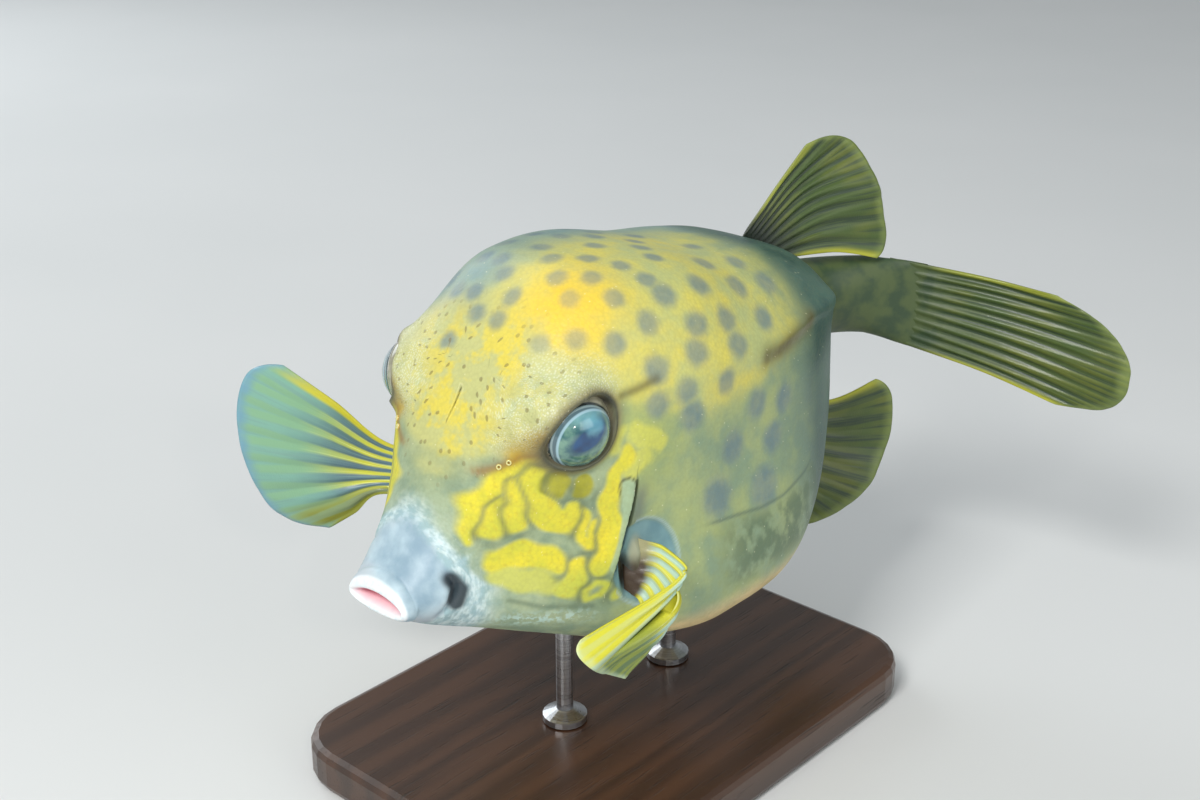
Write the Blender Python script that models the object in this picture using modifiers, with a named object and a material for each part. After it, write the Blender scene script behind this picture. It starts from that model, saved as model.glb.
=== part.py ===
"""A bluespotted boxfish as a still, life-size display model on a small stand.

The fish faces -Y, its left side is +X and up is +Z. The origin is at the middle of the
base's underside. Shapes are worked out in the fish's own coordinates: x to its left,
s back from the lips along its spine, and z up from the level of its lower ridges.
"""

import math

import bmesh
import bpy
import numpy as np
from mathutils import Vector

MM = 0.001
GAP = 0.3 * MM  # what two touching nodes keep between their faces

# Where the fish is held over the stand
MODEL_CENTRE = 58 * MM  # the s that stands over the middle of the base
FISH_LIFT = 38 * MM  # height of the lower ridges over the floor

# The body from lips to tail: s, top, bottom, half width, level of the widest point
BODY_SIZES = MM * np.array(
    [
        [0.0, 16.8, 12.0, 6.4, 14.4],
        [2.6, 18.8, 10.4, 7.4, 14.6],
        [5.0, 21.4, 8.8, 8.6, 15.0],
        [8.0, 25.6, 7.2, 10.0, 16.4],
        [11.0, 30.5, 6.0, 11.4, 18.5],
        [15.0, 37.5, 4.8, 14.4, 21.5],
        [20.0, 45.5, 3.2, 18.6, 23.0],
        [25.0, 51.9, 1.6, 22.2, 24.0],
        [32.0, 58.7, -0.8, 25.6, 24.5],
        [42.0, 62.3, -3.5, 28.2, 25.0],
        [55.0, 61.3, -5.4, 29.6, 25.0],
        [70.0, 58.0, -5.4, 29.2, 25.5],
        [82.0, 56.2, -2.0, 26.8, 26.5],
        [91.0, 54.0, 5.0, 23.4, 29.0],
        [97.0, 51.4, 12.5, 19.6, 32.0],
        [101.5, 47.5, 20.0, 14.5, 34.5],
        [105.0, 44.6, 26.4, 9.2, 35.5],
        [112.0, 44.2, 27.6, 6.6, 36.0],
        [121.0, 44.0, 28.0, 4.6, 36.0],
        [129.0, 44.2, 27.6, 2.8, 36.0],
        [133.0, 44.6, 27.2, 1.5, 35.9],
    ]
)
# How square each of those sections is above and below, and how much it narrows upwards
BODY_SQUARENESS = np.array(
    [
        [2.0, 2.0, 0.0],
        [2.0, 2.0, 0.0],
        [2.0, 2.0, 0.05],
        [2.0, 2.1, 0.10],
        [2.1, 2.3, 0.16],
        [2.3, 2.6, 0.20],
        [2.9, 3.0, 0.17],
        [3.3, 3.4, 0.13],
        [3.2, 3.8, 0.14],
        [3.45, 4.2, 0.14],
        [3.8, 4.5, 0.13],
        [3.3, 4.4, 0.12],
        [3.3, 4.0, 0.11],
        [3.4, 3.4, 0.08],
        [3.2, 3.0, 0.05],
        [2.6, 2.6, 0.03],
        [2.2, 2.2, 0.0],
        [2.0, 2.0, 0.0],
        [2.0, 2.0, 0.0],
        [2.0, 2.0, 0.0],
        [2.0, 2.0, 0.0],
    ]
)
# Soft swellings and hollows on both sides: s, z, length and breadth of the spread, rise
RELIEF = MM * np.array(
    [
        [23.2, 45.2, 8.0, 4.2, 4.0],  # brow over the eye
        [21.6, 42.4, 5.0, 3.2, 1.6],  # fold of skin in front of the eye
        [28.0, 40.0, 6.5, 5.0, -1.6],  # orbit
        [15.5, 34.2, 5.5, 2.4, 0.9],  # ridge from the eye to the muzzle
        [20.0, 22.0, 8.0, 8.0, -1.3],  # cheek
        [37.0, 18.0, 5.0, 6.5, -1.5],  # soft skin round the pectoral fin's root
        [64.0, 27.0, 26.0, 13.0, -1.7],  # flank
        [70.0, 45.5, 30.0, 3.6, 0.8],  # upper ridge
        [94.0, 45.0, 5.0, 4.5, 1.4],  # rear corner of the upper ridge
    ]
)
# How steeply the length of each rises to the rear
RELIEF_TILT = np.radians([31, 45, 20, 40, 0, 0, 0, 0, 0])

# The tail swings to the left: where it starts, over what length, and how far it turns
PEDUNCLE_BEND_START = 99 * MM
PEDUNCLE_BEND_LENGTH = 36 * MM
PEDUNCLE_TURN = math.radians(60)
FIN_BEND_START = 128 * MM
FIN_BEND_LENGTH = 36 * MM
FIN_TURN = math.radians(20)
TAIL_DROOP_START = 126 * MM
TAIL_DROOP_SLOPE = 0.17

# Where the nodes of the body are parted
LIP_END = 2.6 * MM
MUZZLE_END = 8.0 * MM
GILL_PLANE = 31.8 * MM  # s of the parting between head and carapace at GILL_LEVEL
GILL_LEVEL = 23.5 * MM
GILL_SLANT = 0.34  # how far it leans back for each millimetre up
CARAPACE_END = 105.0 * MM
PEDUNCLE_END = 133.0 * MM

# The gill opening: the raised edge of its cover, and the slit behind that edge
GILL_FLAP_HEIGHT = 0.7 * MM
GILL_FLAP_WIDTH = 3.0 * MM
GILL_HALF_LENGTH = 8.0 * MM
GILL_SLIT_DEPTH = 2.6 * MM
GILL_SLIT_WIDTH = 0.9 * MM

# Lips: s, half width, half height above and below the mouth's line, from the throat out
LIP_RINGS = MM * np.array(
    [
        [2.2, 3.6, 0.5, 0.5],
        [1.2, 5.0, 0.8, 0.8],
        [0.3, 5.6, 1.3, 1.3],
        [0.0, 6.1, 2.0, 1.9],
        [0.4, 6.8, 2.9, 2.8],
        [1.3, 7.2, 3.7, 3.6],
        [2.0, 7.3, 4.0, 4.0],
    ]
)
MOUTH_LEVEL = 14.6 * MM
MOUTH_CORNER_DROP = 0.8 * MM

# Eyes
EYE_RADIUS = 7.3 * MM
EYE_S = 27.6 * MM
EYE_X = 16.2 * MM
EYE_Z = 40.8 * MM
# The skin round the orbit lies over the eyeball as a lid that doesn't close
LID_DEPTH = 0.8 * MM
LID_SHOULDER = 0.93  # share of the lid's radius past which it leaves the ball
LID_FALL = 0.6 / MM  # how sharply it turns down past there
LID_BLEND = 0.8 * MM

# The opening of the orbit, an oval that slants up to the rear
ORBIT_CENTRE = MM * np.array([21.5, 26.3, 41.0])  # x, s, z
ORBIT_RADII = MM * np.array([9.0, 8.0, 5.6])
ORBIT_TILT = math.radians(37)

# Nostrils, a pair of short tubes in front of each eye
NOSTRIL_RADIUS = 1.0 * MM
NOSTRIL_BORE = 0.5 * MM
NOSTRIL_HEIGHT = 0.9 * MM
NOSTRIL_PLACES = MM * np.array([[17.5, 35.9], [15.4, 34.6]])  # s, z

# Fins: rays, and how thick the membrane and the rays are
PECTORAL_RAYS = 10
DORSAL_RAYS = 9
ANAL_RAYS = 9
CAUDAL_RAYS = 10
MEMBRANE = 0.5 * MM
RAY_AT_ROOT = 0.6 * MM
RAY_AT_TIP = 0.3 * MM
RAY_SHARE = 0.44  # of the distance from one ray to the next, how much a ray's foot takes
ROOT_GAP = 0.4 * MM  # from a fin's root edge to the curve of the skin

# Stand
BASE_LENGTH = 104 * MM
BASE_WIDTH = 72 * MM
BASE_HEIGHT = 8 * MM
BASE_CORNER = 12 * MM
BASE_EDGE = 1.5 * MM
ROD_RADIUS = 1.6 * MM
ROD_COLLAR_RADIUS = 4.2 * MM
ROD_COLLAR_HEIGHT = 2.4 * MM
ROD_PAD_RADIUS = 2.8 * MM
ROD_PAD_HEIGHT = 1.6 * MM
ROD_GAP = 0.5 * MM  # from a rod's pad to the curve of the belly
ROD_PLACES = {"stand_rod_front": 44 * MM, "stand_rod_rear": 74 * MM}

BODY_SIDES = 48
HEAD_SIDES = 64
CORNER_CROWDING = 0.09  # draws a section's points towards its corners

COLOURS = {
    "skin_back": ((0.55, 0.42, 0.08), 0.42),
    "skin_face": ((0.60, 0.50, 0.10), 0.42),
    "skin_muzzle": ((0.33, 0.42, 0.47), 0.40),
    "lip": ((0.85, 0.86, 0.86), 0.35),
    "eye": ((0.10, 0.22, 0.25), 0.08),
    "skin_tail": ((0.16, 0.19, 0.06), 0.50),
    "fin": ((0.48, 0.48, 0.06), 0.45),
    "fin_dark": ((0.20, 0.26, 0.04), 0.50),
    "stand_wood": ((0.05, 0.03, 0.02), 0.45),
    "stand_steel": ((0.55, 0.55, 0.56), 0.30),
}
METALS = {"stand_steel"}


def smooth_curve(knots, values, at):
    """A smooth curve through the values at the knots, one column for each kind of value."""
    knots = np.asarray(knots, float)
    values = np.asarray(values, float).reshape(len(knots), -1)
    at = np.asarray(at, float)
    step = np.diff(knots)[:, None]
    slope = np.diff(values, axis=0) / step
    tangent = np.empty_like(values)
    tangent[0], tangent[-1] = slope[0], slope[-1]
    tangent[1:-1] = (slope[:-1] * step[1:] + slope[1:] * step[:-1]) / (step[1:] + step[:-1])
    tangent[1:-1][slope[:-1] * slope[1:] <= 0] = 0
    i = np.clip(np.searchsorted(knots, at, side="right") - 1, 0, len(knots) - 2)
    t = ((at - knots[i]) / step[i, 0])[..., None]
    return (
        (1 + 2 * t) * (1 - t) ** 2 * values[i]
        + t * (1 - t) ** 2 * step[i] * tangent[i]
        + t * t * (3 - 2 * t) * values[i + 1]
        + t * t * (t - 1) * step[i] * tangent[i + 1]
    )


def ease(t):
    """0 before 0, 1 after 1, and smooth between."""
    t = np.clip(t, 0, 1)
    return t * t * (3 - 2 * t)


def heading(s):
    """How far the spine has turned to the left at s, in radians."""
    turn = PEDUNCLE_TURN * ease((s - PEDUNCLE_BEND_START) / PEDUNCLE_BEND_LENGTH)
    return turn + FIN_TURN * ease((s - FIN_BEND_START) / FIN_BEND_LENGTH)


SPINE_S = np.linspace(0, 200 * MM, 801)
SPINE_STEP = SPINE_S[1] - SPINE_S[0]
SPINE_MIDDLES = SPINE_S[:-1] + SPINE_STEP / 2
SPINE_X = np.concatenate([[0], np.cumsum(np.sin(heading(SPINE_MIDDLES)) * SPINE_STEP)])
SPINE_Y = np.concatenate([[0], np.cumsum(np.cos(heading(SPINE_MIDDLES)) * SPINE_STEP)])


def on_spine(x, s, z):
    """World points at x to the left of the spine, at s along it and at height z."""
    turn = heading(s)
    droop = TAIL_DROOP_SLOPE * np.maximum(s - TAIL_DROOP_START, 0)
    return np.stack(
        [
            np.interp(s, SPINE_S, SPINE_X) + x * np.cos(turn),
            np.interp(s, SPINE_S, SPINE_Y) - x * np.sin(turn) - MODEL_CENTRE,
            z - droop + FISH_LIFT,
        ],
        axis=-1,
    )


def free_points(points):
    """World points of places given as x, s, z in millimetres, with no bend of the spine."""
    points = MM * np.asarray(points, float)
    return points + np.array([0, -MODEL_CENTRE, FISH_LIFT])


def gill_flap(s, z):
    """How far the gill cover's edge stands out, in front of the parting."""
    behind = s - GILL_PLANE - GILL_SLANT * (z - GILL_LEVEL)
    along = np.exp(-(((z - GILL_LEVEL) / GILL_HALF_LENGTH) ** 4))
    return GILL_FLAP_HEIGHT * along * ease(1 + behind / GILL_FLAP_WIDTH) * (behind <= 0)


def lid_x(s, z):
    """Half width of the skin that lies over the eyeball, which falls off round it."""
    radius = EYE_RADIUS + LID_DEPTH
    shoulder = LID_SHOULDER * radius
    away = np.hypot(s - EYE_S, z - EYE_Z)
    past = np.maximum(away - shoulder, 0)
    over_ball = np.sqrt(radius**2 - np.minimum(away, shoulder) ** 2)
    slope = shoulder / math.sqrt(radius**2 - shoulder**2)
    return EYE_X + over_ball - slope * past - LID_FALL * past**2


def body_section(s, angle):
    """x and z of the body's surface at s, and at an angle up from its left side."""
    top, bottom, half, middle = np.moveaxis(
        smooth_curve(BODY_SIZES[:, 0], BODY_SIZES[:, 1:], s), -1, 0
    )
    square_up, square_down, taper = np.moveaxis(
        smooth_curve(BODY_SIZES[:, 0], BODY_SQUARENESS, s), -1, 0
    )
    c, q = np.cos(angle), np.sin(angle)
    height = np.where(q > 0, top - middle, middle - bottom)
    power = np.where(q > 0, square_up, square_down)
    reach = (np.abs(c / half) ** power + np.abs(q / height) ** power) ** (-1 / power)
    z = middle + reach * q
    x = reach * c * (1 - 2 * taper * (z - middle) / (top - bottom))
    swell = gill_flap(s, z)
    for (at_s, at_z, length, breadth, rise), tilt in zip(RELIEF, RELIEF_TILT):
        back, up = s - at_s, z - at_z
        along = (back * math.cos(tilt) + up * math.sin(tilt)) / length
        across = (up * math.cos(tilt) - back * math.sin(tilt)) / breadth
        swell = swell + rise * np.exp(-(along**2) - across**2)
    side = np.clip(2 * np.abs(c), 0, 1)
    flank = np.abs(x) + side * swell
    lid = lid_x(s, z)
    covered = (flank + lid + np.hypot(flank - lid, LID_BLEND)) / 2
    return np.sign(c) * (flank + side * (covered - flank)), z


def section_angles(sides):
    """Angles round a section, closer together at its four corners."""
    angle = np.arange(sides) * 2 * math.pi / sides
    return angle + CORNER_CROWDING * np.sin(4 * angle)


def body_ring(s, lean=0.0, sides=BODY_SIDES):
    """World points once round the body at s. A ring with a lean runs back as it rises."""
    angle = section_angles(sides)
    at = np.full(sides, float(s))
    for _ in range(12):
        at = s + lean * (body_section(at, angle)[1] - GILL_LEVEL)
    x, z = body_section(at, angle)
    return on_spine(x, at, z)


def flank_x(s, z):
    """Half width of the body at s and at height z, on its flank."""
    angle = np.linspace(-0.45 * math.pi, 0.45 * math.pi, 721)
    x, level = body_section(np.full(angle.shape, float(s)), angle)
    return float(np.interp(z, level, x))


def midline_z(s, upper):
    """Height of the back's midline at s, or of the belly's."""
    column = 1 if upper else 2
    return float(smooth_curve(BODY_SIZES[:, 0], BODY_SIZES[:, column], s)[..., 0])


def material(slot):
    """The Principled material of that name, made once."""
    found = bpy.data.materials.get(slot)
    if found:
        return found
    colour, roughness = COLOURS[slot]
    made = bpy.data.materials.new(slot)
    made.use_nodes = True
    made.diffuse_color = (*colour, 1)
    shader = made.node_tree.nodes["Principled BSDF"]
    shader.inputs["Base Color"].default_value = (*colour, 1)
    shader.inputs["Roughness"].default_value = roughness
    shader.inputs["Metallic"].default_value = 1.0 if slot in METALS else 0.0
    return made


def new_object(name, vertices, faces, slot, collection):
    """A mesh object whose faces point out, smooth except at sharp edges."""
    mesh = bpy.data.meshes.new(name)
    mesh.from_pydata([tuple(v) for v in vertices], [], faces)
    tidy = bmesh.new()
    tidy.from_mesh(mesh)
    bmesh.ops.recalc_face_normals(tidy, faces=tidy.faces)
    tidy.to_mesh(mesh)
    tidy.free()
    mesh.shade_smooth()
    mesh.set_sharp_from_angle(angle=math.radians(40))
    made = bpy.data.objects.new(name, mesh)
    mesh.materials.append(material(slot))
    collection.objects.link(made)
    return made


def loft(name, rings, slot, collection):
    """A closed solid through rings of equally many points, with a cap at each end."""
    rings = np.asarray(rings)
    count, sides = rings.shape[:2]
    vertices = [*rings.reshape(-1, 3), rings[0].mean(axis=0), rings[-1].mean(axis=0)]
    faces = []
    for ring in range(count - 1):
        for i in range(sides):
            j = (i + 1) % sides
            low, high = ring * sides, (ring + 1) * sides
            faces.append((low + i, low + j, high + j, high + i))
    first, last = count * sides, count * sides + 1
    for i in range(sides):
        j = (i + 1) % sides
        faces.append((first, j, i))
        faces.append((last, (count - 1) * sides + i, (count - 1) * sides + j))
    return new_object(name, vertices, faces, slot, collection)


def boolean(target, other, operation, solver="EXACT"):
    """Applies a Boolean of the two objects to the first one, and removes the second."""
    cut = target.modifiers.new(operation.lower(), "BOOLEAN")
    cut.object = other
    cut.operation = operation
    cut.solver = solver
    graph = bpy.context.evaluated_depsgraph_get()
    mesh = bpy.data.meshes.new_from_object(target.evaluated_get(graph))
    target.modifiers.remove(cut)
    old = target.data
    target.data = mesh
    bpy.data.meshes.remove(old)
    bpy.data.objects.remove(other)


def make_lips(collection):
    """The lips, a rounded rim round an open mouth with a shallow throat."""
    angle = section_angles(BODY_SIDES)
    rings = []
    for s, half, above, below in LIP_RINGS:
        x = half * np.cos(angle)
        rise = np.where(np.sin(angle) > 0, above, below) * np.sin(angle)
        drop = MOUTH_CORNER_DROP * (x / half) ** 2
        rings.append(on_spine(x, np.full(BODY_SIDES, s), MOUTH_LEVEL + rise - drop))
    rings.append(body_ring(LIP_END))
    return loft("lips", rings, "lip", collection)


def make_muzzle(collection):
    """The fleshy muzzle between the lips and the front opening of the bony box."""
    stations = np.linspace(LIP_END + GAP, MUZZLE_END, 5)
    return loft("muzzle", [body_ring(s) for s in stations], "skin_muzzle", collection)


def eye_places():
    """The name and the world centre of each eye."""
    centre = on_spine(0.0, EYE_S, EYE_Z)
    for side, sign in (("left", 1), ("right", -1)):
        yield side, centre + np.array([sign * EYE_X, 0, 0])


def ball(name, centre, radius, segments, rings):
    """A sphere with its poles on the X axis, as a new object."""
    bpy.ops.mesh.primitive_uv_sphere_add(segments=segments, ring_count=rings, radius=radius)
    made = bpy.context.object
    made.name = name
    made.rotation_euler = (0, math.radians(90), 0)
    made.location = centre
    bpy.context.view_layer.update()
    return made


def make_eyes(collection):
    """Two eyeballs, each a whole globe in its socket."""
    for side, centre in eye_places():
        eye = ball("eye_" + side, centre, EYE_RADIUS, 24, 16)
        eye.data.shade_smooth()
        eye.data.materials.append(material("eye"))
        bpy.context.collection.objects.unlink(eye)
        collection.objects.link(eye)


def nostril(centre, outward):
    """One short tube, closed at its foot, that stands out along outward."""
    profile = bmesh.new()
    outline = [
        (0, -NOSTRIL_HEIGHT),
        (1.5 * NOSTRIL_RADIUS, -NOSTRIL_HEIGHT),
        (NOSTRIL_RADIUS, NOSTRIL_HEIGHT),
        (NOSTRIL_BORE, NOSTRIL_HEIGHT),
        (NOSTRIL_BORE, 0.2 * NOSTRIL_HEIGHT),
        (0, 0.2 * NOSTRIL_HEIGHT),
    ]
    points = [profile.verts.new((r, 0, h)) for r, h in outline]
    edges = [profile.edges.new(pair) for pair in zip(points[:-1], points[1:])]
    bmesh.ops.spin(
        profile,
        geom=points + edges,
        cent=(0, 0, 0),
        axis=(0, 0, 1),
        angle=2 * math.pi,
        steps=10,
        use_merge=True,
    )
    bmesh.ops.remove_doubles(profile, verts=profile.verts, dist=0.01 * MM)
    bmesh.ops.recalc_face_normals(profile, faces=profile.faces)
    mesh = bpy.data.meshes.new("nostril")
    profile.to_mesh(mesh)
    profile.free()
    made = bpy.data.objects.new("nostril", mesh)
    bpy.context.scene.collection.objects.link(made)
    made.rotation_mode = "QUATERNION"
    made.rotation_quaternion = outward.to_track_quat("Z", "Y")
    made.location = centre
    bpy.context.view_layer.update()
    return made


def surface_normal(s, z):
    """Outward direction of the left flank at s and z, in the world."""
    step = 0.5 * MM
    here = Vector((flank_x(s, z), s, z))
    along = Vector((flank_x(s + step, z), s + step, z)) - here
    up = Vector((flank_x(s, z + step), s, z + step)) - here
    return along.cross(up).normalized()


def make_head(collection):
    """The head, from the muzzle to the gill cover, with its eye sockets and nostrils."""
    fronts = [8.3, 9.4, 10.6, 12, 13.6, 15.2, 16.8, 18.2, 19.6, 21, 22.4, 23.8, 25.2, 26.6, 27.8]
    leans = GILL_SLANT * ease(np.linspace(-0.1, 0.9, len(fronts)))
    rings = [body_ring(s * MM, lean, HEAD_SIDES) for s, lean in zip(fronts, leans)]
    for before in (GILL_FLAP_WIDTH, 0.6 * GILL_FLAP_WIDTH, 0.25 * GILL_FLAP_WIDTH, 0):
        rings.append(body_ring(GILL_PLANE - before, GILL_SLANT, HEAD_SIDES))
    head = loft("head", rings, "skin_face", collection)
    for side, centre in eye_places():
        boolean(head, ball("socket", centre, EYE_RADIUS + GAP, 24, 16), "DIFFERENCE")
    for sign in (1, -1):
        x, s, z = ORBIT_CENTRE
        orbit = ball("orbit", on_spine(sign * x, s, z), 1.0, 28, 16)
        orbit.rotation_euler = (ORBIT_TILT, 0, 0)
        orbit.scale = ORBIT_RADII
        bpy.context.view_layer.update()
        boolean(head, orbit, "DIFFERENCE")
    for s, z in NOSTRIL_PLACES:
        outward = surface_normal(s, z)
        for sign in (1, -1):
            centre = on_spine(sign * flank_x(s, z), s, z)
            facing = outward.copy()
            facing.x *= sign
            boolean(head, nostril(centre, facing), "UNION")


def make_carapace(collection):
    """The bony box behind the gills, with the gill slits cut into its front edge."""
    front = GILL_PLANE + GAP
    rings = [body_ring(front + behind * MM, GILL_SLANT) for behind in (0, 1.5, 3.5)]
    middles = [38.5, 42, 47, 53, 60, 67, 74, 80, 85, 89, 92.5, 95.5, 98, 100.2, 102.2, 103.8]
    leans = GILL_SLANT * np.clip(np.linspace(0.85, -1.6, len(middles)), 0, 1)
    rings += [body_ring(s * MM, lean) for s, lean in zip(middles, leans)]
    rings.append(body_ring(CARAPACE_END))
    carapace = loft("carapace", rings, "skin_back", collection)
    for sign in (1, -1):
        centre = on_spine(sign * flank_x(front, GILL_LEVEL), front, GILL_LEVEL)
        slit = ball("slit", centre, 1.0, 16, 12)
        slit.rotation_euler = (-math.atan(GILL_SLANT), 0, 0)
        slit.scale = (GILL_SLIT_DEPTH, GILL_SLIT_WIDTH, GILL_HALF_LENGTH)
        bpy.context.view_layer.update()
        boolean(carapace, slit, "DIFFERENCE")


def make_peduncle(collection):
    """The stalk of the tail, which turns to the left."""
    stations = np.linspace(CARAPACE_END + GAP, PEDUNCLE_END, 13)
    rings = [body_ring(s, sides=32) for s in stations]
    return loft("caudal_peduncle", rings, "skin_tail", collection)


def fin_columns(rays):
    """Places across a fin from 0 to 1, and how much of a ray's ridge stands at each."""
    places, ridges = [0.0], [0.0]
    for ray in range(rays):
        for offset, ridge in ((-0.5, 0.0), (0, 1.0), (0.5, 0.0)):
            places.append((ray + 0.5 + offset * RAY_SHARE) / rays)
            ridges.append(ridge)
    return np.array(places + [1.0]), np.array(ridges + [0.0])


def fin_middle(rails, knots, u, v):
    """Points of a fin's middle surface. Each ray passes the rails in turn, at the knots."""
    across = [smooth_curve(np.linspace(0, 1, len(rail)), rail, u) for rail in rails]
    along = smooth_curve(knots, np.reshape(across, (len(rails), -1)), v)
    return along.reshape(len(v), len(u), 3).transpose(1, 0, 2)


def make_fin(name, rails, knots, rays, rows, slot, collection):
    """A fan of rays joined by a membrane, one closed thin solid with its rays as ridges."""
    u, ridge = fin_columns(rays)
    v = np.linspace(0, 1, rows)
    middle = fin_middle(rails, knots, u, v)
    normal = np.cross(np.gradient(middle, axis=0), np.gradient(middle, axis=1))
    normal /= np.linalg.norm(normal, axis=-1, keepdims=True)
    ray_height = RAY_AT_ROOT + (RAY_AT_TIP - RAY_AT_ROOT) * v
    half = (MEMBRANE + ridge[:, None] * ray_height[None, :]) / 2
    front = middle + normal * half[..., None]
    back = middle - normal * half[..., None]
    grid = np.arange(u.size * v.size).reshape(u.size, v.size)
    other = grid + grid.size
    faces = []
    for i in range(u.size - 1):
        for j in range(v.size - 1):
            for side in (grid, other):
                a, b, c, d = side[i, j], side[i + 1, j], side[i + 1, j + 1], side[i, j + 1]
                faces += [(a, b, c), (a, c, d)]
    border = [*grid[:, 0], *grid[-1, 1:], *grid[-2::-1, -1], *grid[0, -2:0:-1]]
    for a, b in zip(border, border[1:] + border[:1]):
        faces.append((a, b, b + grid.size, a + grid.size))
    vertices = np.concatenate([front.reshape(-1, 3), back.reshape(-1, 3)])
    faces = [tuple(int(corner) for corner in face) for face in faces]
    new_object(name, vertices, faces, slot, collection)


def pectoral_root(sign):
    """The rail of a pectoral fin's root, just off the flank behind the gill opening."""
    places = MM * np.array([[35.4, 20.4], [34.2, 17.6], [33.0, 14.8], [31.9, 12.0]])
    rail = [(sign * (flank_x(s, z) + ROOT_GAP), s, z) for s, z in places]
    return free_points(np.array(rail) / MM)


def make_pectoral_fins(collection):
    """The right fin is a spread fan. The left one is half closed and bent forward."""
    neck = free_points(
        [(-30.2, 32.6, 20.8), (-30.6, 31.2, 18), (-30.6, 30.2, 15), (-30.2, 29.4, 12.4)]
    )
    tip = free_points(
        [(-45.5, 16, 40), (-48, 12.2, 35), (-49, 11, 27), (-48.5, 12, 18), (-47, 16, 8.5), (-42, 22.5, 3)]
    )
    across = np.linspace(0, 1, 5)
    spread = [smooth_curve(np.linspace(0, 1, len(rail)), rail, across) for rail in (neck, tip)]
    right = [pectoral_root(-1), neck, 0.5 * spread[0] + 0.5 * spread[1], tip]
    left = [
        pectoral_root(1),
        free_points([(29.8, 36.4, 20), (29.6, 35.5, 17.4), (29.2, 33.9, 14.6), (28.6, 31.8, 11.4)]),
        free_points([(34.8, 36.3, 17.8), (34.6, 34.6, 15.6), (33.6, 32.6, 12.2), (31, 30.6, 8)]),
        free_points(
            [(33.5, 10.5, 14.2), (34.5, 12.5, 10.5), (34.5, 17, 7), (33.5, 22.5, 3.8), (31.5, 27, 1.2)]
        ),
    ]
    make_fin("pectoral_fin_right", right, (0, 0.13, 0.565, 1), PECTORAL_RAYS, 8, "fin", collection)
    make_fin("pectoral_fin_left", left, (0, 0.12, 0.28, 1), PECTORAL_RAYS, 12, "fin", collection)


def make_dorsal_fin(collection):
    """The fan on the back's rear end, swept to the left."""
    root = [(0, s, (midline_z(s * MM, True) + ROOT_GAP) / MM) for s in (94.5, 97.5, 100.5, 103.5)]
    rails = [
        free_points(root),
        free_points([(1.5, 103, 62), (3, 107.5, 60), (5, 111, 55), (6.5, 113.5, 46.5)]),
        free_points(
            [(3.5, 110.5, 70.5), (7, 119, 67.8), (10.5, 122, 61), (12, 123.5, 54.5), (14, 125, 43.5)]
        ),
    ]
    make_fin("dorsal_fin", rails, (0, 0.5, 1), DORSAL_RAYS, 7, "fin_dark", collection)


def make_anal_fin(collection):
    """The fan under the rear end, swept to the left as the dorsal fin is."""
    root = [(0, s, (midline_z(s * MM, False) - ROOT_GAP) / MM) for s in (95.5, 97.6, 99.6, 101.6)]
    rails = [
        free_points(root),
        free_points([(3, 101.5, -2), (6, 107, 1.5), (7.5, 112, 7.5), (7.5, 114, 15)]),
        free_points(
            [(7, 105.5, -12.5), (13, 114.5, -7.5), (16.5, 121, -0.5), (16, 126, 8.5), (15, 126, 20)]
        ),
    ]
    make_fin("anal_fin", rails, (0, 0.5, 1), ANAL_RAYS, 7, "fin_dark", collection)


def make_caudal_fin(collection):
    """The tail fin, a half closed fan with a round end, on the end of its stalk."""
    reach = np.array([32.5, 39.5, 44.0, 46.2, 45.6, 42.0, 34.5]) * MM
    spread = np.array([11.0, 8.2, 4.6, 0.2, -4.6, -8.8, -11.6]) * MM
    height = np.linspace(8.0, -8.0, 7) * MM
    middle = 36.0 * MM
    start = PEDUNCLE_END + ROOT_GAP
    level = np.zeros(7)
    rails = [
        on_spine(level, start + level, middle + height),
        on_spine(level, start + 0.5 * reach, middle + 0.42 * height + 0.55 * spread),
        on_spine(level, start + reach, middle + spread),
    ]
    make_fin("caudal_fin", rails, (0, 0.5, 1), CAUDAL_RAYS, 8, "fin_dark", collection)


def make_base(collection):
    """The stand's plate, with round corners and a softened edge."""
    half_x, half_y = BASE_WIDTH / 2 - BASE_CORNER, BASE_LENGTH / 2 - BASE_CORNER
    outline = []
    for quarter in range(4):
        centre_x = half_x if quarter in (0, 3) else -half_x
        centre_y = half_y if quarter in (0, 1) else -half_y
        for step in range(7):
            turn = math.radians(90 * quarter + 15 * step)
            outline.append(
                (centre_x + BASE_CORNER * math.cos(turn), centre_y + BASE_CORNER * math.sin(turn))
            )
    count = len(outline)
    vertices = [(x, y, z) for z in (0, BASE_HEIGHT) for x, y in outline]
    faces = [tuple(range(count)), tuple(range(count, 2 * count))]
    faces += [(i, (i + 1) % count, count + (i + 1) % count, count + i) for i in range(count)]
    base = new_object("stand_base", vertices, faces, "stand_wood", collection)
    edge = base.modifiers.new("edge", "BEVEL")
    edge.width = BASE_EDGE
    edge.segments = 2
    edge.limit_method = "ANGLE"
    edge.angle_limit = math.radians(40)


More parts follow.
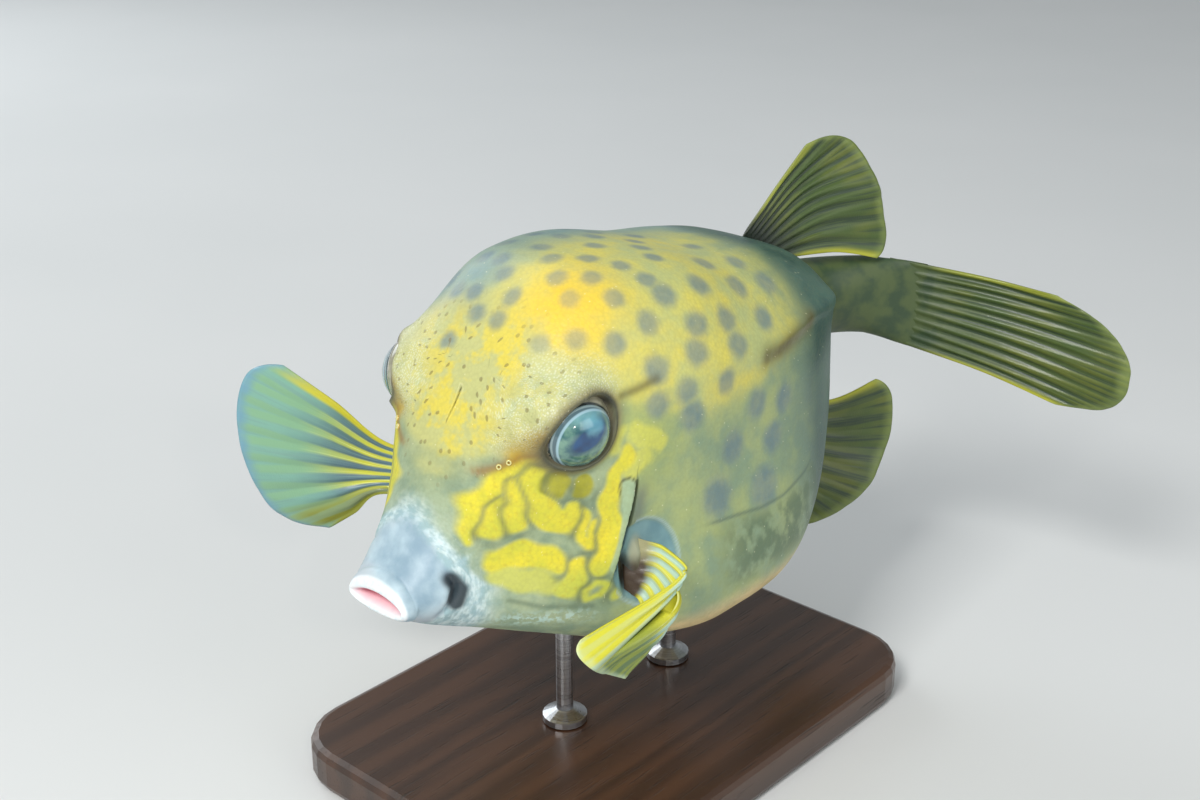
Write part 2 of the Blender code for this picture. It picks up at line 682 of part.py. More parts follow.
def make_rods(collection):
    """Two turned steel rods from the base up to the belly, each with a collar and a pad."""
    for name, s in ROD_PLACES.items():
        foot = BASE_HEIGHT + GAP
        head = FISH_LIFT + midline_z(s, False) - ROD_GAP
        profile = [
            (0, head),
            (ROD_PAD_RADIUS, head),
            (ROD_PAD_RADIUS, head - ROD_PAD_HEIGHT / 2),
            (ROD_RADIUS, head - ROD_PAD_HEIGHT),
            (ROD_RADIUS, foot + ROD_COLLAR_HEIGHT),
            (ROD_COLLAR_RADIUS, foot + ROD_COLLAR_HEIGHT / 2),
            (ROD_COLLAR_RADIUS, foot),
            (0, foot),
        ]
        mesh = bpy.data.meshes.new(name)
        mesh.from_pydata([(r, 0, z) for r, z in profile], [(i, i + 1) for i in range(7)], [])
        mesh.materials.append(material("stand_steel"))
        rod = bpy.data.objects.new(name, mesh)
        rod.location = (0, s - MODEL_CENTRE, 0)
        collection.objects.link(rod)
        turn = rod.modifiers.new("turn", "SCREW")
        turn.steps = turn.render_steps = 20
        turn.use_merge_vertices = True
        turn.merge_threshold = 0.01 * MM


def main():
    for found in list(bpy.data.objects):
        bpy.data.objects.remove(found)
    collection = bpy.data.collections.new("bluespotted_boxfish")
    bpy.context.scene.collection.children.link(collection)
    make_lips(collection)
    make_muzzle(collection)
    make_head(collection)
    make_eyes(collection)
    make_carapace(collection)
    make_peduncle(collection)
    make_pectoral_fins(collection)
    make_dorsal_fin(collection)
    make_anal_fin(collection)
    make_caudal_fin(collection)
    make_base(collection)
    make_rods(collection)


main()
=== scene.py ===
# %% [markdown]
# # A bluespotted boxfish on a display stand
#
# A boxfish wears a rigid box of fused plates. Only its lips, muzzle, eyes, gill edges, fins
# and tail stalk are soft. The solid parts of this model are already made, at life size, and
# this notebook gives them their looks. The solids are loaded first as a frame that nothing
# here moves. Each new piece stands where the frame says, so nothing has to be fitted.

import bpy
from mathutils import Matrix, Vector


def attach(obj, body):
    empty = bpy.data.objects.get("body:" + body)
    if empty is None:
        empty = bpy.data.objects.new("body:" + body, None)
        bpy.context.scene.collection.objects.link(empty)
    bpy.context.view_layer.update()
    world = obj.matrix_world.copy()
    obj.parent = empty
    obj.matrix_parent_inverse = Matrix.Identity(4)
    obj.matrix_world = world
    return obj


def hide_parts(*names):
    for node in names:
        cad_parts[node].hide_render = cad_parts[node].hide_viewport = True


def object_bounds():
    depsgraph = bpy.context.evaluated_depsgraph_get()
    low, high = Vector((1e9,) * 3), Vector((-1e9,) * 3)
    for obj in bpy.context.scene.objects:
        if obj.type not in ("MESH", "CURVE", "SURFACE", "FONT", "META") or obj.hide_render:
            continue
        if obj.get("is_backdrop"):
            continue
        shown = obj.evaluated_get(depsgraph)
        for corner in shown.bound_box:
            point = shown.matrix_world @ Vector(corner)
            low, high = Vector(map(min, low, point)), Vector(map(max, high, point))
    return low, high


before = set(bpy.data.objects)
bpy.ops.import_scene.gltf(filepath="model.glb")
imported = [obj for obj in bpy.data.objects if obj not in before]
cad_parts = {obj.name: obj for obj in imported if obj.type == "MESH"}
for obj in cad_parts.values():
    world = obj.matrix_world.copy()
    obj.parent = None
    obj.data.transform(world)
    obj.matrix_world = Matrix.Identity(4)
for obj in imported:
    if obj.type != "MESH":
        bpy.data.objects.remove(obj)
cad_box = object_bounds()
print("nodes in the frame:", ", ".join(sorted(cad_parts)))

# %% Tools for numbers and meshes
import math

import bpy
import numpy as np

ROOT = "root"  # the one body that every piece rides on


def ease(t):
    """0 before 0, 1 after 1, and smooth between."""
    t = np.clip(t, 0, 1)
    return t * t * (3 - 2 * t)


def hump(t):
    """1 at 0, falling to nothing past 2 either way."""
    return np.exp(-(t**2))


def smooth_curve(knots, values, at):
    """A smooth curve through the values at the knots, one column for each kind of value."""
    knots = np.asarray(knots, float)
    values = np.asarray(values, float).reshape(len(knots), -1)
    at = np.asarray(at, float)
    step = np.diff(knots)[:, None]
    slope = np.diff(values, axis=0) / step
    tangent = np.empty_like(values)
    tangent[0], tangent[-1] = slope[0], slope[-1]
    tangent[1:-1] = (slope[:-1] * step[1:] + slope[1:] * step[:-1]) / (step[1:] + step[:-1])
    tangent[1:-1][slope[:-1] * slope[1:] <= 0] = 0
    i = np.clip(np.searchsorted(knots, at, side="right") - 1, 0, len(knots) - 2)
    t = ((at - knots[i]) / step[i, 0])[..., None]
    return (
        (1 + 2 * t) * (1 - t) ** 2 * values[i]
        + t * (1 - t) ** 2 * step[i] * tangent[i]
        + t * t * (3 - 2 * t) * values[i + 1]
        + t * t * (t - 1) * step[i] * tangent[i + 1]
    )


print("tools for numbers are ready")

# %% [markdown]
# ## The fish's own coordinates
#
# On a fish it is natural to say how far back a thing is and how high, so shapes are worked
# out with x to the fish's left, s back from the lips along the spine and z up from the lower
# ridges, all in millimetres. One function then bends the spine and turns the result into
# world metres. The tail swings to the left in two smooth turns and droops a little. A bone
# rig could bend it too, but a formula bends the skin, fins and colours together and exactly.

# %% From the fish to the world
METRE = 0.001  # metres in a millimetre
MODEL_CENTRE = 58.0  # the s that stands over the middle of the base
FISH_LIFT = 38.0  # height of the lower ridges over the floor
PEDUNCLE_BEND = (99.0, 36.0, math.radians(60))  # start, length and turn
FIN_BEND = (128.0, 36.0, math.radians(20))
TAIL_DROOP_START = 126.0
TAIL_DROOP_SLOPE = 0.17


def heading(s):
    """How far the spine has turned to the left at s, in radians."""
    return sum(turn * ease((s - start) / length) for start, length, turn in (PEDUNCLE_BEND, FIN_BEND))


SPINE_S = np.linspace(0, 200, 801)
SPINE_STEP = SPINE_S[1]
SPINE_TURN = heading(SPINE_S[:-1] + SPINE_STEP / 2)
SPINE_X = np.concatenate([[0], np.cumsum(np.sin(SPINE_TURN) * SPINE_STEP)])
SPINE_Y = np.concatenate([[0], np.cumsum(np.cos(SPINE_TURN) * SPINE_STEP)])


def on_spine(x, s, z):
    """World points, in metres, at x to the left of the spine, at s along it and at height z."""
    turn = heading(s)
    droop = TAIL_DROOP_SLOPE * np.maximum(s - TAIL_DROOP_START, 0)
    across = np.interp(s, SPINE_S, SPINE_X) + x * np.cos(turn)
    back = np.interp(s, SPINE_S, SPINE_Y) - x * np.sin(turn) - MODEL_CENTRE
    return METRE * np.stack([across, back, z - droop + FISH_LIFT], axis=-1)


def free_points(points):
    """World points of places given as x, s, z, with no bend of the spine."""
    return METRE * (np.asarray(points, float) + np.array([0, -MODEL_CENTRE, FISH_LIFT]))


print("the tail's tip points", round(math.degrees(float(heading(180.0)))), "degrees to the left")

# %% [markdown]
# ## The form of the body
#
# The real animal is round at the lips and almost square in section at the middle, with two
# ridges above and two below. Sculpting would do, but a loft through a few measured sections
# is easier to keep true. Each section is a superellipse with its own squareness above and
# below. Soft swellings and hollows are added on both sides: the brow, the cheek, the flank.

# %% Sizes of the body
# s, top, bottom, half width and level of the widest point, then how square the section is
# above and below that level, and how much it narrows upwards
BODY_SECTIONS = [
    (0, 16.8, 12, 6.4, 14.4, 2, 2, 0),
    (2.6, 18.8, 10.4, 7.4, 14.6, 2, 2, 0),
    (5, 21.4, 8.8, 8.6, 15, 2, 2, 0.05),
    (8, 25.6, 7.2, 10, 16.4, 2, 2.1, 0.1),
    (11, 30.5, 6, 11.4, 18.5, 2.1, 2.3, 0.16),
    (15, 37.5, 4.8, 14.4, 21.5, 2.3, 2.6, 0.2),
    (20, 45.5, 3.2, 18.6, 23, 2.9, 3, 0.17),
    (25, 51.9, 1.6, 22.2, 24, 3.3, 3.4, 0.13),
    (32, 58.7, -0.8, 25.6, 24.5, 3.2, 3.8, 0.14),
    (42, 62.3, -3.5, 28.2, 25, 3.45, 4.2, 0.14),
    (55, 61.3, -5.4, 29.6, 25, 3.8, 4.5, 0.13),
    (70, 58, -5.4, 29.2, 25.5, 3.3, 4.4, 0.12),
    (82, 56.2, -2, 26.8, 26.5, 3.3, 4, 0.11),
    (91, 54, 5, 23.4, 29, 3.4, 3.4, 0.08),
    (97, 51.4, 12.5, 19.6, 32, 3.2, 3, 0.05),
    (101.5, 47.5, 20, 14.5, 34.5, 2.6, 2.6, 0.03),
    (105, 44.6, 26.4, 9.2, 35.5, 2.2, 2.2, 0),
    (112, 44.2, 27.6, 6.6, 36, 2, 2, 0),
    (121, 44, 28, 4.6, 36, 2, 2, 0),
    (129, 44.2, 27.6, 2.8, 36, 2, 2, 0),
    (133, 44.7, 27.1, 1.5, 35.9, 2, 2, 0),
    (138, 45, 26.8, 0.1, 35.9, 2, 2, 0),
]
# Soft swellings and hollows: s, z, length and breadth of the spread, rise, tilt in degrees
RELIEF = [
    (23.2, 45.2, 8.0, 4.2, 4.0, 31),  # brow over the eye
    (21.6, 42.4, 5.0, 3.2, 1.6, 45),  # fold of skin in front of the eye
    (28.0, 40.0, 6.5, 5.0, -1.6, 20),  # orbit
    (15.5, 34.2, 5.5, 2.4, 0.9, 40),  # ridge from the eye to the muzzle
    (20.0, 22.0, 8.0, 8.0, -1.3, 0),  # cheek
    (37.0, 18.0, 5.0, 6.5, -1.5, 0),  # soft skin round the pectoral fin's root
    (64.0, 27.0, 26.0, 13.0, -1.7, 0),  # flank
    (70.0, 45.5, 30.0, 3.6, 0.8, 0),  # upper ridge
    (94.0, 45.0, 5.0, 4.5, 1.4, 0),  # rear corner of the upper ridge
]
LIP_END = 2.6
PEDUNCLE_END = 133.0
SKIN_END = 138.0  # the skin thins out over the root of the tail fin
GILL_PLANE = 31.8  # s of the gill opening at GILL_LEVEL
GILL_LEVEL = 23.5
GILL_SLANT = 0.34  # how far it leans back for each millimetre up
GILL_FLAP_HEIGHT = 0.7
GILL_FLAP_WIDTH = 3.0
GILL_HALF_LENGTH = 8.0
EYE_RADIUS = 7.3
EYE_S, EYE_X, EYE_Z = 27.6, 16.2, 40.8
LID_DEPTH = 0.8
LID_SHOULDER = 0.93  # share of the lid's radius past which it leaves the ball
LID_FALL = 0.6
LID_BLEND = 0.8


def along_sections(s, first, last):
    """The sections' numbers from first up to last, at every s."""
    table = np.array(BODY_SECTIONS)
    return np.moveaxis(smooth_curve(table[:, 0], table[:, first:last], s), -1, 0)


def turned(back, up, tilt):
    """A place's distance along and across a direction that rises by tilt to the rear."""
    cosine, sine = math.cos(tilt), math.sin(tilt)
    return back * cosine + up * sine, up * cosine - back * sine


def gill_flap(s, z):
    """How far the gill cover's edge stands out, in front of the opening."""
    behind = s - GILL_PLANE - GILL_SLANT * (z - GILL_LEVEL)
    along = np.exp(-(((z - GILL_LEVEL) / GILL_HALF_LENGTH) ** 4))
    return GILL_FLAP_HEIGHT * along * ease(1 + behind / GILL_FLAP_WIDTH) * (behind <= 0)


def ball_x(s, z, radius, shoulder_share):
    """Half width at which a ball of that radius about the eye's centre has its skin."""
    shoulder = shoulder_share * radius
    away = np.hypot(s - EYE_S, z - EYE_Z)
    past = np.maximum(away - shoulder, 0)
    over_ball = np.sqrt(radius**2 - np.minimum(away, shoulder) ** 2)
    slope = shoulder / math.sqrt(radius**2 - shoulder**2)
    return EYE_X + over_ball - slope * past - LID_FALL * past**2


def body_section(s, angle):
    """x and z of the body's surface at s, and at an angle up from its left side."""
    top, bottom, half, middle, square_up, square_down, taper = along_sections(s, 1, 8)
    c, q = np.cos(angle), np.sin(angle)
    height = np.where(q > 0, top - middle, middle - bottom)
    power = np.where(q > 0, square_up, square_down)
    reach = (np.abs(c / half) ** power + np.abs(q / height) ** power) ** (-1 / power)
    z = middle + reach * q
    x = reach * c * (1 - 2 * taper * (z - middle) / (top - bottom))
    swell = gill_flap(s, z)
    for at_s, at_z, length, breadth, rise, tilt in RELIEF:
        along, across = turned(s - at_s, z - at_z, math.radians(tilt))
        swell = swell + rise * np.exp(-((along / length) ** 2) - (across / breadth) ** 2)
    side = np.clip(2 * np.abs(c), 0, 1)
    flank = np.abs(x) + side * swell
    lid = ball_x(s, z, EYE_RADIUS + LID_DEPTH, LID_SHOULDER)
    covered = (flank + lid + np.hypot(flank - lid, LID_BLEND)) / 2
    return np.sign(c) * (flank + side * (covered - flank)), z


def flank_angle(s, z):
    """The angle, above the widest point, at which the section at s has height z."""
    low, high = np.zeros_like(s), np.full_like(s, 0.5 * math.pi)
    for _ in range(28):
        middle = (low + high) / 2
        below = body_section(s, middle)[1] < z
        low, high = np.where(below, middle, low), np.where(below, high, middle)
    return low


def flank_x(s, z):
    """Half width of the body at one place on its flank."""
    angle = np.linspace(-0.45 * math.pi, 0.45 * math.pi, 721)
    x, level = body_section(np.full(angle.shape, float(s)), angle)
    return float(np.interp(z, level, x))


def midline_z(s, upper):
    """Height of the back's midline at s, or of the belly's."""
    return float(along_sections(s, 1, 3)[0 if upper else 1])


print("body half width at the gills:", round(flank_x(32, 24), 1), "mm")

# %% [markdown]
# ## A fine net over the body
#
# The skin is one sheet from the throat over the lips to the end of the tail stalk, so no
# seam shows anywhere. It is a net of rings. A remesh would spread its faces evenly, but a
# net that follows the form can be closer where the form is finer: by the eyes, and along
# the gill opening, whose slant the rings follow. Each knot of the net is a pair of numbers,
# s and the angle round the body, and everything else is worked out from that pair.

# %% Rings and columns of the net
GILL_BOW = 0.8  # how far the middle of the gill opening bends to the rear
GILL_MIDDLE = 22.5
GILL_BOW_SPREAD = 6.0
COLUMNS = 480
EYE_ANGLE = math.radians(43)  # where the eyes are in a section
ROOT_ANGLE = math.radians(-15)  # where the pectoral fins' roots are


def gill_line(z):
    """s of the gill opening at height z."""
    bow = GILL_BOW * hump((z - GILL_MIDDLE) / GILL_BOW_SPREAD)
    return GILL_PLANE + GILL_SLANT * (z - GILL_LEVEL) + bow


def steps(*spans):
    """Places from the start of the first span to the end of the last, with a step for each span."""
    found = [np.arange(start, end, step) for start, end, step in spans]
    return np.concatenate(found + [[spans[-1][1]]])


def column_angles():
    """Angles once round a section, closer together where the body has its finest forms."""
    fine = np.linspace(-math.pi, math.pi, 7201)
    density = np.ones_like(fine)
    for side in (1, -1):
        for centre, spread, weight in ((EYE_ANGLE, 0.30, 1.6), (ROOT_ANGLE, 0.25, 0.8)):
            place = math.pi / 2 - side * (math.pi / 2 - centre)
            away = np.angle(np.exp(1j * (fine - place)))
            density += weight * hump(away / spread)
    share = np.concatenate([[0], np.cumsum((density[1:] + density[:-1]) / 2)])
    return np.interp(np.arange(COLUMNS) / COLUMNS, share / share[-1], fine)


ring_s = steps((LIP_END, 30.2, 0.30), (30.2, 34.0, 0.12), (34.0, 46.0, 0.35), (46.0, SKIN_END, 0.65))
lean = ease((ring_s - 8) / 22) * ease((98 - ring_s) / 60)
net_angle = np.tile(column_angles(), (len(ring_s), 1))
net_s = np.repeat(ring_s[:, None], COLUMNS, axis=1)
for _ in range(14):
    level = body_section(net_s, net_angle)[1]
    net_s = ring_s[:, None] + lean[:, None] * (gill_line(level) - GILL_PLANE)
print("rings and columns:", net_s.shape)

# %% [markdown]
# ## The orbits
#
# The skin lies over the eyeball as a lid that doesn't close, with an oval opening that slants
# up to the rear. A Boolean cut would leave a ragged edge, so the net itself is drawn together
# along the edge of the opening, where it needs its finest faces. Inside the edge the skin
# dives behind the ball, as real skin does.

# %% Draw the net together round each orbit
OPENING_S, OPENING_Z = 26.5, 41.1
OPENING_LENGTH, OPENING_BREADTH = 6.9, 5.2  # half of each
OPENING_TILT = math.radians(37)
RIM_PRESS = {1: 0.9, -1: 2.8}  # how far the skin in front of each eye sinks, left and right
DRAW_SHARE = 0.68
DRAW_SPREAD = 0.34
DRAW_REACH = 2.2  # how far from the opening's middle knots are still moved, as a share


def opening_place(s, z):
    """How far a place is from the middle of the opening, as a share of the way to its edge."""
    along, across = turned(s - OPENING_S, z - OPENING_Z, OPENING_TILT)
    return np.hypot(along / OPENING_LENGTH, across / OPENING_BREADTH)


net_x, net_z = body_section(net_s, net_angle)
share = opening_place(net_s, net_z)
near = (share < DRAW_REACH) & (np.abs(net_x) > 5) & (net_s < 42)
drawn = share[near] + DRAW_SHARE * (1 - share[near]) * hump((share[near] - 1) / DRAW_SPREAD)
scale = drawn / np.maximum(share[near], 1e-6)
new_s = OPENING_S + (net_s[near] - OPENING_S) * scale
new_z = OPENING_Z + (net_z[near] - OPENING_Z) * scale
new_angle = flank_angle(new_s, new_z)
net_s[near] = new_s
net_angle[near] = np.where(net_x[near] > 0, new_angle, math.pi - new_angle)
net_x, net_z = body_section(net_s, net_angle)
print("knots drawn to the orbits:", int(near.sum()))

# %% [markdown]
# ## Fine forms of the head
#
# Next come the forms that are too small for the sections: the inside of the orbits, the gill
# slit, the soft hollow and the lobe that the pectoral fin grows from, and the crease where
# the fleshy muzzle leaves the box. Each is a distance from a short line or an oval, turned
# into a depth. A sculptor would press them in by hand. As formulas they stay sharp, equal on
# both sides, and can be used again for the colours.

# %% Depths of the fine forms
SOFT_SKIN = (35.5, 16.5, 6.6, 7.6)  # s, z and half sizes of the hollow behind the gills
ROOT_LOBE = (34.3, 16.6, 1.9, 4.6)
ROOT_HOLLOW = (31.7, 15.6, 1.0, 3.6)
MUZZLE_CREASE = [(7.2, 24.5), (7.1, 21.6), (7.6, 19.5), (8.4, 17.0), (7.6, 14.0), (6.0, 11.0)]
UPPER_RIDGE = [(60, 44.5), (70, 44.6), (84, 45.6), (96, 45.4)]
SLIT_TOP, SLIT_BOTTOM = 31.6, 15.6
SLIT_DEPTH, SOFT_DEPTH, HOLLOW_DEPTH, CREASE_DEPTH = 1.5, 0.45, 1.5, 1.6
LOBE_RISE, RIM_RISE, RIDGE_RISE = 1.2, 0.2, 0.8
SOCKET_GAP = 0.7  # how far the skin inside the orbit lies behind the ball's surface
BALL_SHOULDER = 0.985


def line_distance(s, z, path):
    """Distance of places from a bent line. A third number at each of its points is a half width."""
    best = np.full(np.shape(s), 99.0)
    for first, last in zip(path, path[1:] or path):
        (s0, z0, w0), (s1, z1, w1) = [(*point, 0.0)[:3] for point in (first, last)]
        length = max(math.hypot(s1 - s0, z1 - z0), 1e-6)
        t = np.clip(((s - s0) * (s1 - s0) + (z - z0) * (z1 - z0)) / length**2, 0, 1)
        away = np.hypot(s - s0 - t * (s1 - s0), z - z0 - t * (z1 - z0))
        best = np.minimum(best, away - w0 - t * (w1 - w0))
    return best


def oval(s, z, centre_s, centre_z, half_s, half_z):
    """How far a place is from an oval's centre, 1 at its edge."""
    return np.hypot((s - centre_s) / half_s, (z - centre_z) / half_z)


def along_body(points):
    """A value at every knot, straight between the points given as s and value."""
    return np.interp(net_s, *np.array(points, float).T)


behind_slit = net_s - gill_line(net_z)
slit_length = ease((SLIT_TOP - net_z) / 1.5) * ease((net_z - SLIT_BOTTOM) / 1.5)
slit = hump((behind_slit - 0.32) / 0.26) * slit_length
soft = oval(net_s, net_z, *SOFT_SKIN)
soft_skin = ease((1 - soft) / 0.10) * (behind_slit > 0.2)
lobe = ease((1.15 - oval(net_s, net_z, *ROOT_LOBE)) / 0.9)
hollow = ease((1.3 - oval(net_s, net_z, *ROOT_HOLLOW)) / 0.9) * (behind_slit > 0.1)
crease = hump(line_distance(net_s, net_z, MUZZLE_CREASE) / 0.55) * ease((net_z - 9.5) / 3)
depth = SLIT_DEPTH * slit + SOFT_DEPTH * soft_skin - LOBE_RISE * lobe
depth += HOLLOW_DEPTH * hollow * (1 - lobe)
depth += CREASE_DEPTH * hump((net_z - 15.6) / 3.2) * crease
share = opening_place(net_s, net_z)
depth -= RIM_RISE * hump((share - 1.14) / 0.10)
ridge_share = ease((net_s - 64) / 16) * ease((99 - net_s) / 5) * (np.abs(net_x) > 5)
depth -= RIDGE_RISE * hump((net_z - along_body(UPPER_RIDGE)) / 1.4) * ridge_share
depth[np.abs(net_x) < 1e-6] = 0

inside = ease((1.0 - share) / 0.16)
ball = ball_x(net_s, net_z, EYE_RADIUS, BALL_SHOULDER) - SOCKET_GAP
in_front = hump((share - 1.05) / 0.38) * ease((27.5 - net_s) / 5) * ease((net_z - 36) / 4)
pressed = np.abs(net_x) - np.where(net_x > 0, RIM_PRESS[1], RIM_PRESS[-1]) * in_front
target = np.minimum(ball, pressed - SOCKET_GAP)
socket_x = np.sign(net_x) * (pressed + inside * (target - pressed))
print("deepest form:", round(float(depth.max()), 2), "mm")

# %% [markdown]
# The depths are measured square to the skin, as a thumb would press clay, and not sideways. So
# each knot moves along its own normal, which comes from its neighbours in the ring and along
# the body. Inside an orbit nothing is pressed, because the skin there already follows the ball.

# %% Push the net along its normals
skin = on_spine(socket_x, net_s, net_z)
along = np.gradient(skin, axis=0)
around = np.roll(skin, -1, axis=1) - np.roll(skin, 1, axis=1)
normal = np.cross(around, along)
normal /= np.linalg.norm(normal, axis=-1, keepdims=True)
outward = np.sum(normal * (skin - skin.mean(axis=1, keepdims=True)), axis=-1)
if outward.mean() < 0:
    normal = -normal
skin = skin - METRE * (depth * (1 - inside))[..., None] * normal
print("the skin reaches", np.round(skin.max(axis=(0, 1)), 3), "m")

# %% [markdown]
# ## Lips
#
# The mouth is small and always a little open, with a thick white upper lip and a paler lower
# one. The lips carry on the skin's own columns, so the net runs over them and into the throat
# without a join. Each ring is an oval with its own half width and height above and below.

# %% Rings of the lips
# s, half width, half height above and below the mouth's line, from the throat out
LIP_RINGS = np.array(
    [
        [3.6, 3.0, 0.25, 0.25],
        [2.2, 4.6, 0.35, 0.8],
        [1.1, 5.4, 0.5, 1.5],
        [0.3, 5.9, 0.9, 2.1],
        [0.0, 6.3, 1.6, 2.6],
        [0.25, 6.7, 2.6, 3.1],
        [0.9, 7.1, 3.4, 3.6],
        [1.6, 7.3, 4.0, 3.9],
        [2.3, 7.4, 4.2, 4.2],
    ]
)
MOUTH_LEVEL = 14.6
MOUTH_CORNER_DROP = 0.8
LIP_STEPS = 44
LOWER_LIP_BACK = 0.3  # how far the lower lip lies behind the upper one

lip_at = np.linspace(0, 1, LIP_STEPS)
knots = np.linspace(0, 1, len(LIP_RINGS))
lip_s, lip_half, lip_above, lip_below = smooth_curve(knots, LIP_RINGS, lip_at).T[..., None]
lip_angle = column_angles()[None, :]
lip_x = lip_half * np.cos(lip_angle)
lip_rise = np.where(np.sin(lip_angle) > 0, lip_above, lip_below) * np.sin(lip_angle)
lip_z = MOUTH_LEVEL + lip_rise - MOUTH_CORNER_DROP * (lip_x / lip_half) ** 2
lip_s = lip_s + LOWER_LIP_BACK * ease(-np.sin(lip_angle)) * ease((1 - lip_at[:, None]) / 0.3)
lips = on_spine(lip_x, lip_s, lip_z)
print("the mouth opens", round(float(lip_above[12, 0] + lip_below[12, 0]), 1), "mm")

# %% [markdown]
# ## Where the colours lie
#
# The pattern is soft on the back and sharp on the cheek. A painted image would have to be
# wrapped round the body. Here each marking is a number at every knot of the net, worked out
# from its place: how near it is to the closest spot, how deep it is inside a cheek patch, or
# how far along the fade from back to flank. The material then turns numbers into colours.
# A spot is as far across in every direction over the skin, so its distances are true ones,
# and the slope of the head doesn't stretch it.

# %% Spots in rows along the back
# How far each row is round the body from the back's midline, the spots' half length, then s
# of each. The rows past MIRRORED_FROM also stand on the right side, a little farther back.
SPOT_ROWS = [
    (-6.5, 1.7, [24.0, 30.0, 36.5, 51.0, 59.5]),
    (-3.2, 1.8, [27.5, 34.0, 43.0, 56.0, 66.5]),
    (1.6, 1.8, [27.5, 31.0, 40.0, 50.5, 61.0]),
    (6.4, 1.8, [36.0, 44.0, 57.5, 71.0]),
    (11.2, 1.7, [27.5, 34.0, 39.5, 46.5, 54.5]),
    (14.0, 2.0, [65.0, 73.5]),
    (16.5, 1.8, [31.0, 39.5, 47.5]),
    (20.0, 2.3, [48.0, 57.0, 67.5, 76.0]),
    (23.0, 2.0, [35.5, 42.5]),
    (26.5, 2.3, [51.5, 59.0, 69.5]),
    (30.8, 2.4, [41.0, 49.5, 59.5]),
    (36.5, 2.2, [40.0, 46.0, 55.0]),
    (41.0, 2.6, [47.0, 63.5, 72.5]),
    (48.0, 2.8, [57.0, 68.5]),
    (56.0, 3.6, [51.5, 64.5]),
]
SPOT_SCALE = 1.12
MIRRORED_FROM = 9
FAR_SHIFT = 3.0


def girth_from_back(x, z):
    """Distance round each ring from the midline of the back, more than 0 on the left."""
    closed_x, closed_z = np.hstack([x, x[:, :1]]), np.hstack([z, z[:, :1]])
    step = np.hypot(np.diff(closed_x, axis=1), np.diff(closed_z, axis=1))
    length = np.hstack([np.zeros((len(x), 1)), np.cumsum(step, axis=1)])
    whole = length[:, -1:]
    top = np.argmin(np.abs(column_angles() - math.pi / 2))
    around = length[:, top][:, None] - length[:, :-1]
    return around - whole * np.round(around / whole)


def nearest_spot(x, s, z, around):
    """1 in the middle of a spot, 0 at its edge and less than 0 outside, by the true distance."""
    best = np.full(s.shape, -9.0)
    places = [(row, size, at) for row, size, row_s in SPOT_ROWS for at in row_s]
    places += [(-row, size, at + FAR_SHIFT) for row, size, at in places if row > MIRRORED_FROM]
    for row, size, at in places:
        middle = np.unravel_index(np.argmin(np.hypot(s - at, around - row)), s.shape)
        away = np.sqrt((x - x[middle]) ** 2 + (s - s[middle]) ** 2 + (z - z[middle]) ** 2)
        best = np.maximum(best, 1 - away / (SPOT_SCALE * size))
    return best


girth = girth_from_back(net_x, net_z)
markings = {"spot": nearest_spot(net_x, net_s, net_z, girth)}
ring_step = np.sqrt(sum(np.diff(place, axis=0) ** 2 for place in (net_x, net_s, net_z)))
run = np.vstack([np.zeros((1, COLUMNS)), np.cumsum(ring_step, axis=0)])  # length over the skin
print("spots:", sum(len(row_s) for _, _, row_s in SPOT_ROWS), "measured on the photograph")

# %% [markdown]
# The cheek's patches are bands of yellow with round ends. Each is a bent line that swells and
# narrows, and its edge wanders a little, as a stencil cut by hand would. The net between them
# follows from the same distances: a place is on a line of the net when two patches are
# equally near.

# %% Patches on the cheek
# Each patch is a line of points: s, z and half width
CHEEK_PATCHES = [
    [(19.6, 36.9, 1.0), (16.5, 33.2, 1.3), (14.0, 29.9, 1.4), (12.4, 26.9, 1.2), (11.5, 23.6, 0.6)],
    [(16.2, 29.6, 1.1), (14.2, 25.6, 1.8)],
    [(18.0, 32.6, 1.3), (17.2, 26.6, 2.0)],
    [(20.0, 35.0, 1.6), (20.2, 30.8, 2.2), (21.0, 27.4, 2.0), (23.4, 25.8, 2.0), (24.4, 28.4, 1.2)],
    [(26.0, 27.6, 0.7), (25.5, 23.1, 0.9), (26.2, 21.3, 0.9), (27.1, 22.8, 0.7), (27.0, 25.6, 0.5)],
    [(34.2, 36.2, 0.9), (31.5, 33.2, 1.2), (29.8, 29.8, 1.5)]
    + [(29.6, 25.3, 1.7), (29.2, 21.8, 1.8), (27.5, 17.6, 1.5)],
    [(14.4, 20.4, 1.8), (18.4, 21.2, 2.1), (21.6, 19.4, 2.0)],
    [(24.5, 18.2, 1.5), (23.0, 14.2, 1.7)],
    [(26.5, 15.3, 0.6), (27.9, 14.2, 0.6), (27.4, 12.6, 0.6)]
    + [(25.6, 12.4, 0.6), (25.2, 14.2, 0.6), (26.5, 15.3, 0.6)],
    [(30.0, 12.7, 1.1)],
]
OLIVE_PATCHES = [[(22.6, 33.2, 1.8), (22.4, 31.8, 1.6)], [(26.0, 32.6, 1.5), (25.9, 30.8, 1.2)]]
FAINT_PATCHES = [
    [(31.8, 37.4, 1.3), (33.0, 39.6, 1.0)],
    [(34.0, 33.2, 1.4), (36.5, 35.0, 1.6)],
    [(36.0, 38.6, 1.8), (39.5, 36.6, 1.4)],
    [(14.6, 17.4, 1.6), (18.4, 16.4, 2.2), (20.6, 15.6, 1.4)],
]
WOBBLE = 0.32  # how far the patches' edges wander, in millimetres
wobble_s = net_s + WOBBLE * np.sin(1.1 * net_z + 0.5 * net_s)
wobble_z = net_z + WOBBLE * np.sin(1.3 * net_s - 0.6 * net_z + 2)


